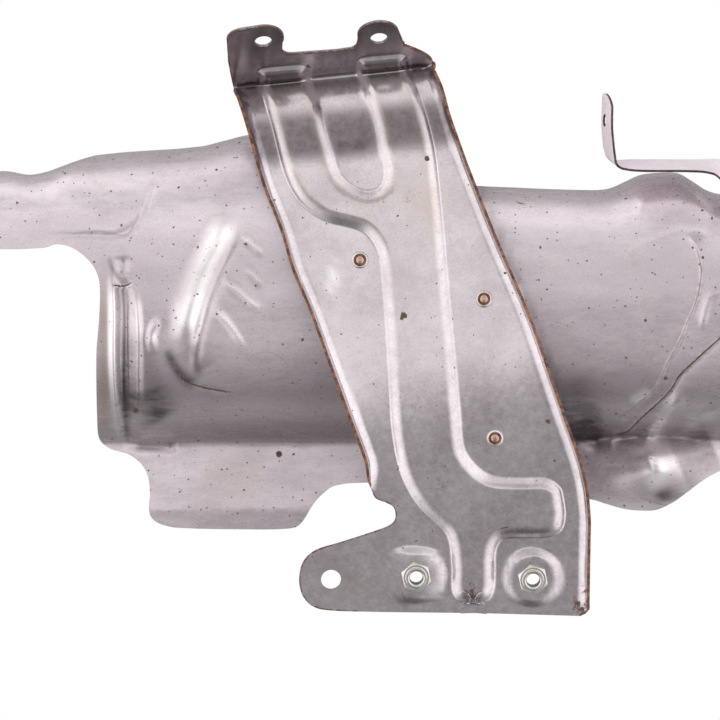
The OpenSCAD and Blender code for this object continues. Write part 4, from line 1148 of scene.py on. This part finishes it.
# %% Shield mesh
# The stations between which the front edge is doubled over
HEMMED = (-1, 6.5), (14, 22), (28, 38)
hemmed = np.any([(s > lo) & (s < hi) for lo, hi in HEMMED], axis=0)
thick = np.full(plan.shape[:2], T_SHIELD)
thick[hemmed, :5] = 2 * T_SHIELD
shield_low = under(shield_top, thick)
print("shield grid", shield_top.shape)
shield = sheet_mesh("heat_shield_sheet", shield_top, shield_low)
place(shield, "shield_sheet", "aluminised_sheet")
dress(shield, aluminised, sheet_edge)

# %% [markdown]
# ## What marks the shield
# The darker front is painted shade, the pale ridges are painted highlights, and the brown-black specks are laid on
# here. Most of the lines follow a fold, so they reuse the creases' own points, and they are painted shade in the
# creases. The soft shade along the front is painted as well, and stands for what the curved metal mirrors.

# %% Shield lines and spots
plan = spots_of(shield)
y = plan[:, 1]
# Painted shade: darker down the round front towards the flange, and a soft darker band along the crown.
shade = 0.5 * ease((12 - y) / 50) * ease((y + 46) / 8) + 0.3 * bell(y - 42, 18)
spots = [
    (238.8, 142, 0.7), (152.3, 200.9, 0.8), (139.3, 208, 0.7), (180.3, 268.2, 0.6), (225.8, 252.9, 0.6),
    (176, 318, 0.8), (117, 309, 0.7), (140.8, 355.8, 0.7), (217.4, 300, 0.7), (157.4, 265.2, 0.6),
    (135, 410.6, 1.6), (126.2, 365.5, 0.8), (191.6, 379.5, 1.0), (251.9, 445.5, 0.8), (200.4, 445.5, 0.8),
    (243.9, 491, 1.0), (278.5, 454.8, 1.8), (288.9, 517.5, 0.9), (269.7, 368.7, 0.7), (678, 196.9, 1.2),
    (633.7, 323.4, 0.7), (591.4, 290.9, 0.7), (617.5, 300, 0.7), (682.8, 277.5, 0.8), (678, 284.7, 0.7),
    (601.7, 274.9, 0.7), (666.4, 378.5, 1.2), (644, 341, 0.7), (584.5, 473, 0.8), (94, 262, 0.7),
    (167, 300, 0.7), (210, 420, 0.8), (230, 470, 0.7), (180, 490, 0.8), (655, 245, 0.7)
]
# Dark lines: painted shade along the fold, the step, the tuck, the thumb crescent, the groove and a few other bends.
# The short line at (514, 200) is a scratch.
line_dist, line_weight = dark_lines(plan, [
    (FOLD, 0.15, 0.45), (STEP, 0.05, 1.0), (TUCK, 0.2, 1.0), (THUMB, 0.2, 0.9),
    (at(128, 290, 127.5, 330, 128, 380, 129, 430), 0.2, 0.5),
    (at(246, 366, 252, 356, 266, 352, 280, 357, 288, 368, 283, 378, 270, 381), 0.2, 0.3),
    (at(514, 200, 520, 203, 528, 204), 0.3, 0.9), (at(640, 497, 656, 503, 674, 508), 0.3, 0.5),
    (at(141, 206, 135, 222, 126, 235, 99, 231, 65, 235), 0.2, 0.3)])
print(len(spots), "spots")

# %% Shield tones
# Painted highlights: the long ridge and its wrinkles, the groove's walls, the bulge, the lobe, the dome and the top
# edge.
pale = blobs(plan, [
    (at(230, 218, 219, 238, 207, 262, 195, 298, 187, 335), 4.5, 1.2, 0.15),
    (at(222, 277, 240, 293, 262, 313), 1.3, 0.8, 0.3), (at(212, 308, 228, 325, 246, 350), 1.2, 0.8, 0.3),
    (at(241, 235, 252, 244, 264, 256), 1.4, 0.6, 0.3), (at(246, 266, 254, 276, 262, 287), 1.2, 0.5, 0.3),
    (at(155, 330, 150, 345, 148, 354), 1.6, 0.7, 0.3),
    (at(113, 284, 114, 320, 114, 380, 117, 430, 121, 444), 2.6, 0.8, 0.08),
    (at(137, 290, 138, 345, 139, 430), 1.0, 0.5, 0.2), (at(137, 436, 158, 435, 176, 436), 2.2, 0.5, 0.2),
    (at(630, 402, 640, 396, 651, 390), 2.0, 1.3, 0.2), (at(660, 476), 6.0, 1.3, 0),
    (at(676, 396, 666, 414, 656, 433, 646, 446), 2.6, 1.3, 0.2),
    (at(720, 412, 700, 420, 684, 429), 3.0, 0.8, 0.2), (at(641, 194, 641, 209), 1.2, 0.5, 0.3),
    (at(694, 190, 705, 203, 716, 214), 1.6, 0.6, 0.3), (at(184, 416, 191, 432), 0.8, 0.4, 0.3)
])
# Painted shade and painted shadow: in the tuck, in the groove and its valley, under the left bulge, in the pocket,
# and along the bracket's right edge, where its shadow falls. The blotch below the lobe is darkened as well.
grey = blobs(plan, [
    (at(165, 345, 172, 362, 184, 378, 198, 386), 2.6, 0.7, 0.2),
    (at(190, 340, 196, 360, 200, 382), 2.0, 0.35, 0.2), (at(108, 255, 112, 268, 120, 281), 1.2, 0.3, 0.2),
    (at(150, 385, 156, 405, 165, 422), 8, 0.5, 0.2), (at(145, 330, 150, 370, 160, 395), 6, 0.3, 0.2),
    (at(128, 320, 128, 370, 130, 425), 5.5, 0.5, 0.25), (at(190, 345, 205, 370), 8, 0.3, 0.1),
    (at(680, 470, 720, 452), 12, 0.6, 0.1), (VALLEY, 2.2, 0.35, 0.06),
    (at(130, 446, 155, 448, 182, 446), 1.8, 0.45, 0.2), (at(592, 432), 6, 0.3, 0),
    (at(588, 438, 640, 436, 720, 441), 1.2, 0.25, 0.05), (at(570, 370, 582, 410, 588, 460), 9.0, 0.4, 0.2),
    (at(648, 502, 664, 497, 684, 490), 4.0, 0.9, 0.5),
    (at(462, 140, 497, 232, 533, 318, 568, 417, 582, 450), 2.2, 0.3, 0.05)
])
tan = blobs(plan, [(at(102, 270, 103, 350, 104, 440), 3.0, 0.5, 0.15), (at(200, 470, 260, 490), 14, 0.2, 0.1)])
carry(shield, spot=spotted(plan, spots), line=line_dist, line_k=line_weight, pale=pale, grey=grey + shade, tan=tan)
print("shade up to", round(float(shade.max()), 2))

# %% [markdown]
# ## The strap
# A narrow strip stands on its edge, turns a corner, leans and twists down flat onto the shield. A
# curve with a bevel could do it, but its tilt is hard to hold at the corner. The strip is listed as
# places, each with its lean and its slant, and two grids are laid beside the line.

# %% Strap line
STRAP_HALF, STRAP_LOW, TIP_Y, TIP_LONG = 10, 4, 129, 3.45
# Each place: x, y, its lean in degrees and its slant along the way
STRAP = [[124.2, 132.4, -13, 0.28], [124.1, 131.2, -13, 0.28], [124, 129, -13, 0.28], [123.8, 118, -13, 0.28],
    [124.3, 110, -13, 0.28], [125, 104, -12, 0.29], [126, 100.3, -6, 0.33], [128, 98.2, 4, 0.35],
    [131.5, 97.4, 12, 0.28], [140, 97.3, 16, 0.23], [162, 97.2, 16, 0.23],
    [173, 96.8, 18, 0.2], [180, 95.5, 26, 0.15], [187, 91.5, 38, 0.1],
    [194.5, 84.5, 54, 0.05], [201, 76.5, 71, 0], [207, 67.5, 90, 0],
    [213, 59, 90, 0], [221, 54, 90, 0], [232, 51.5, 90, 0]]
k = np.r_[np.linspace(0, 2, 9), np.arange(2.15, 18.95, 0.15), 19]
mid = guide(np.c_[np.arange(20), np.array(STRAP)], k)
level = mix(CROWN - STRAP_LOW, CROWN + GAP + T_STRAP / 2, ease((k - 10) / 6))
way = np.gradient(mid[:, :2], axis=0)
print("the strap's line has", len(k), "rows")

# %% Strap mesh
way = np.c_[way / np.linalg.norm(way, axis=1, keepdims=True), np.zeros(len(k))]
right = np.c_[way[:, 1], -way[:, 0], np.zeros(len(k))]
lean = np.radians(mid[:, 2:3])
upright = np.cos(lean) * [0, 0, 1] + np.sin(lean) * right
across = upright + mid[:, 3:4] * way
out = np.cross(way, upright)
tip = np.sqrt(np.clip(1 - ((mid[:, 1] - TIP_Y) / TIP_LONG) ** 2, 0.02, 1))
half = STRAP_HALF * np.where(mid[:, 1] > TIP_Y, tip, 1)[:, None]
centre = np.c_[mid[:, :2], level]
cols = np.r_[1, 0.96, np.linspace(0.9, -0.9, 13), -0.96, -1]
strap_top, strap_low = (
    np.stack([centre + half * f * across + side * T_STRAP * out for f in cols], 1) for side in (0.5, -0.5))
strap = sheet_mesh("strap_bracket_strip", strap_top, strap_low)
face_out(strap.data)
print("strap grid", strap_top.shape)

# %% Strap hole
STRAP_HOLE, STRAP_HOLE_R, STRAP_LEAN = [123, 120, CROWN - STRAP_LOW - 3.5], 3.25, 13
hole_m = Matrix.Translation(Vector(to_row(STRAP_HOLE))) @ Matrix.Rotation(math.radians(90 + STRAP_LEAN), 4, "Y")
cut(strap, cylinder(STRAP_HOLE_R, 12, hole_m))
place(strap, "strap_bracket", "aluminised_strap")
dress(strap, strap_metal, strap_edge)
print("strap faces:", len(strap.data.polygons))

# %% [markdown]
# ## The blind rivets
# A blind rivet is a soft sleeve with a low dished head. Its steel stem is pulled until it breaks
# off inside, and the sleeve swells below the sheet. Both are turned parts, so each is a profile
# spun round its axis. A Screw modifier would do the same. The spin is done in code, because the
# dished ring needs a material of its own.

# %% Turned parts
WELD, SHARP = 1e-7, math.radians(38)


def lathe(name, profile, segments=64, hexes=None, kinds=None):
    """Turns the closed profile [(r, z), ...] in millimetres about Z."""
    ang = np.arange(segments) * 2 * math.pi / segments
    p = np.array(profile, float)
    r, z = np.tile(p[:, 0], (segments, 1)), np.tile(p[:, 1], (segments, 1))
    if hexes is not None:
        r, z = hexes(r, z, ang[:, None])
    v = np.stack([r * np.cos(ang)[:, None], r * np.sin(ang)[:, None], z], -1).reshape(-1, 3)
    m = len(p)
    mesh = bpy.data.meshes.new(name)
    rings = [(i * m, (i + 1) % segments * m) for i in range(segments)]
    faces = [[a + k, b + k, b + (k + 1) % m, a + (k + 1) % m] for a, b in rings for k in range(m)]
    mesh.from_pydata((v * MM).tolist(), [], faces)
    if kinds is not None:
        mesh.polygons.foreach_set("material_index", np.tile(kinds, segments))
    bm = bmesh.new()
    bm.from_mesh(mesh)
    bmesh.ops.remove_doubles(bm, verts=bm.verts, dist=WELD)
    bmesh.ops.recalc_face_normals(bm, faces=bm.faces)
    for e in bm.edges:
        if len(e.link_faces) == 2 and e.calc_face_angle() > SHARP:
            e.smooth = False
    bm.to_mesh(mesh)
    bm.free()
    mesh.polygons.foreach_set("use_smooth", np.ones(len(mesh.polygons), bool))
    return mesh


print("corners over", round(math.degrees(SHARP)), "degrees stay sharp")

# %% Rivet shapes
SET_LONG = 3.2
# Pairs of radius and height: over the sheet for the head, under it for the set foot
HEAD = [
    (1.45, 0.4), (2.3, 0.42), (2.95, 0.55), (3.1, 1.1), (3.22, 1.26), (3.4, 1.3),
    (3.6, 1.22), (4.0, 0.75), (4.25, 0.35), (4.3, 0.15), (4.25, 0), (2.4, 0)]
SET_FOOT = [(2.4, -0.3), (3.5, -0.35), (3.5, -1.4), (2.4, -SET_LONG), (1.45, -SET_LONG)]
STEM_TOP = [(0, 1.62), (0.5, 1.66), (1.1, 1.6), (1.7, 1.38), (2.05, 1.05), (2.2, 0.8), (2.1, 0.6), (1.4, 0.6)]
STEM_END = [(1.4, -0.1), (2.2, -0.3), (2.0, -1.4), (0, -1.7)]
DISH = [1] * 4 + [0] * 13


def raised(profile, z):
    """A profile of (radius, height) pairs, lifted by z."""
    return [(r, z + h) for r, h in profile]


def rivet_mesh(name, grip):
    return lathe(name, raised(HEAD, GAP) + raised(SET_FOOT, GAP - grip), kinds=DISH)


def stem_mesh(name, grip):
    return lathe(name, raised(STEM_TOP, GAP) + raised(STEM_END, GAP - grip - SET_LONG), 48)


print("a rivet head is", 2 * max(r for r, _ in HEAD), "mm across")

# %% Setting the rivets
def fixing(name, node, matrix, grip):
    """A blind rivet's body and the broken stem in it."""
    body = add(name.format("rivet"), rivet_mesh(name.format("rivet"), grip), matrix)
    place(body, node.format("rivet"), "rivet_body")
    dress(body, rivet_metal, groove_dirt)
    stem = add(name.format("mandrel"), stem_mesh(name.format("mandrel"), grip), matrix)
    place(stem, node.format("mandrel"), "rivet_stem")
    dress(stem, stem_metal)


for name, (x, y) in zip(["upper_left", "upper_right", "lower"], RIVETS):
    fixing("{}_" + name + "_head", "{}_" + name, on_deck(x, y), T_BRACKET + GAP + T_SHIELD)
STRAP_RIVETS = [[217, 55.8], [227, 52.6]]
for name, (x, y) in zip(["inner", "outer"], STRAP_RIVETS):
    spot = Matrix.Translation(Vector(to_row([x, y, CROWN + GAP + T_STRAP])))
    fixing("strap_{}_" + name + "_head", "strap_{}_" + name, spot, T_STRAP + GAP + T_SHIELD)
print("rivets set:", len(RIVETS) + len(STRAP_RIVETS))

# %% [markdown]
# ## The nuts
# Two nuts are pressed into the bosses. Each is a hexagon with its corners turned off and a round
# collar on top. A cylinder with six sides would need bevels for that. Here a turned profile has two
# points that stand for the corner, and `hexes` moves them out to the flats and down the cone.

# %% Nuts
NUT_AF, NUT_H, COLLAR_R, COLLAR_H, CORE_R = 13.6, 2.4, 5.2, 1.2, 3.4
FACE_R, CORNER = NUT_AF / 2 - 0.4, 99


def nut_mesh(name):
    shank, top_z = COLLAR_R - 0.3, NUT_H + COLLAR_H

    def hexes(r, z, ang):
        flat = NUT_AF / 2 / np.cos((ang + math.pi / 6) % (math.pi / 3) - math.pi / 6)
        cone = NUT_H - (flat - FACE_R) / 1.3
        return np.where(r == CORNER, flat, r), np.where(z == CORNER, cone, z)

    return lathe(name, [
        (shank, 0), (CORNER, 0), (CORNER, CORNER), (FACE_R, NUT_H), (COLLAR_R + 0.35, NUT_H - 0.05),
        (COLLAR_R, NUT_H + 0.25), (COLLAR_R, top_z - 0.35), (COLLAR_R - 0.12, top_z - 0.1),
        (COLLAR_R - 0.4, top_z), (CORE_R + 0.7, top_z), (CORE_R + 0.15, top_z - 0.4), (CORE_R, top_z - 0.7),
        (CORE_R, -T_BRACKET - 1), (shank, -T_BRACKET - 1)], 96, hexes)


for name, (x, y) in zip(["left", "right"], NUTS):
    nut = add(f"nut_{name}_pressed", nut_mesh(f"nut_{name}"), on_deck(x, y, BOSS_H + 0.1))
    place(nut, f"nut_{name}", "nut_plating")
    dress(nut, zinc)
print("a nut is", round(NUT_AF / math.cos(math.pi / 6), 1), "mm across its corners")

# %% [markdown]
# ## Floor
# The part lies on nothing that shows: the picture's ground is plain white. A white floor would be
# grey where the light falls off. So the camera sees it glow, and the part gets its light back as
# from a matt floor.

# %% Floor
floor_mesh = bpy.data.meshes.new("floor")
floor_mesh.from_pydata([(-6, -6, 0), (6, -6, 0), (6, 6, 0), (-6, 6, 0)], [], [(0, 1, 2, 3)])
floor = add("floor", floor_mesh, Matrix.Translation((0, 0, -0.0005)))
g = Nodes(bpy.data.materials.new("pale floor"))
g.put(g.bsdf.inputs["Base Color"], (0.4, 0.4, 0.4))
g.put(g.bsdf.inputs["Roughness"], 0.9)
path, glow, mixer = (g.tree.nodes.new("ShaderNode" + n) for n in ("LightPath", "Emission", "MixShader"))
g.put(mixer.inputs[0], path.outputs["Is Camera Ray"])
g.put(mixer.inputs[1], g.bsdf.outputs[0])
g.put(mixer.inputs[2], glow.outputs[0])
g.put(g.tree.nodes["Material Output"].inputs["Surface"], mixer.outputs[0])
floor_mesh.materials.append(bpy.data.materials["pale floor"])
print("the floor lies at", floor.matrix_world.translation.z, "m")

# %% [markdown]
# ## Sky, lamp and camera
# Bare metal shows what it mirrors, so the studio matters as much as the material. An image of a
# room could light it, but it would be one more picture. The sky is a ramp that changes along Y:
# brightest overhead, darker towards the front, with a soft band behind, and it grows brighter at
# both sides. One large lamp adds the highlights, and the camera looks straight down from far off.

# %% Sky
# Angle from straight overhead towards the back, in degrees, and brightness
SKY = [
    (-90, 0.06), (-65, 0.12), (-48, 0.28), (-26, 0.3), (-14, 0.34), (-9, 0.4), (-4, 0.85), (0, 1.02),
    (4, 0.95), (9, 0.55), (15, 0.5), (21, 0.66), (33, 0.5), (48, 0.6), (59, 0.75), (74, 0.6), (90, 0.5)
]
SKY_STRENGTH, SIDE_GLOW = 1.45, (1.25, 1.25, 1.25)
world = bpy.data.worlds.new("studio")
bpy.context.scene.world = world
g = Nodes(world)
coord = g.tree.nodes.new("ShaderNodeTexCoord")
split = g.tree.nodes.new("ShaderNodeSeparateXYZ")
g.put(split.inputs[0], coord.outputs["Generated"])
angle = g.math("ARCTAN2", split.outputs["Y"], split.outputs["Z"])
share = g.math("ADD", g.math("MULTIPLY", angle, 1 / math.pi), 0.5)
sky = g.tree.nodes.new("ShaderNodeValToRGB")
sky.color_ramp.interpolation = "B_SPLINE"
elements = sky.color_ramp.elements
elements.remove(elements[1])
for i, (deg, v) in enumerate(SKY):
    e = elements[0] if i == 0 else elements.new((deg + 90) / 180)
    e.position, e.color = (deg + 90) / 180, (v, v, v, 1)
g.put(sky.inputs[0], share)
sides = g.ramp(g.math("ABSOLUTE", split.outputs["X"]), 0.12, 0.9)
background = g.tree.nodes["Background"]
g.put(background.inputs["Color"], g.mix(sides, sky.outputs[0], SIDE_GLOW))
g.put(background.inputs["Strength"], SKY_STRENGTH)
print("sky stops:", len(elements))

# %% Lamp
lamp = bpy.data.lights.new("key", "AREA")
lamp.energy, lamp.size = 2.0, 1.6
key = bpy.data.objects.new("key", lamp)
key.location = (-0.3, 1.75, 1.0)
key.rotation_euler = (-key.location).to_track_quat("-Z", "Y").to_euler()
bpy.context.scene.collection.objects.link(key)
print("the lamp is", lamp.size, "m wide")

# %% Camera
FAR, VIEW_WIDE, SENSOR = 9.0, 0.36, 36
lens = bpy.data.cameras.new("camera")
camera = bpy.data.objects.new("camera", lens)
bpy.context.scene.collection.objects.link(camera)
lens.sensor_width, lens.lens, lens.clip_end = SENSOR, SENSOR * FAR / VIEW_WIDE, 40
camera.location = Vector(to_row([0, 0, DECK])) + Vector((0, 0, FAR))
bpy.context.scene.camera = camera
bpy.context.scene.view_settings.view_transform = "Standard"
print("the lens is", lens.lens, "mm long")
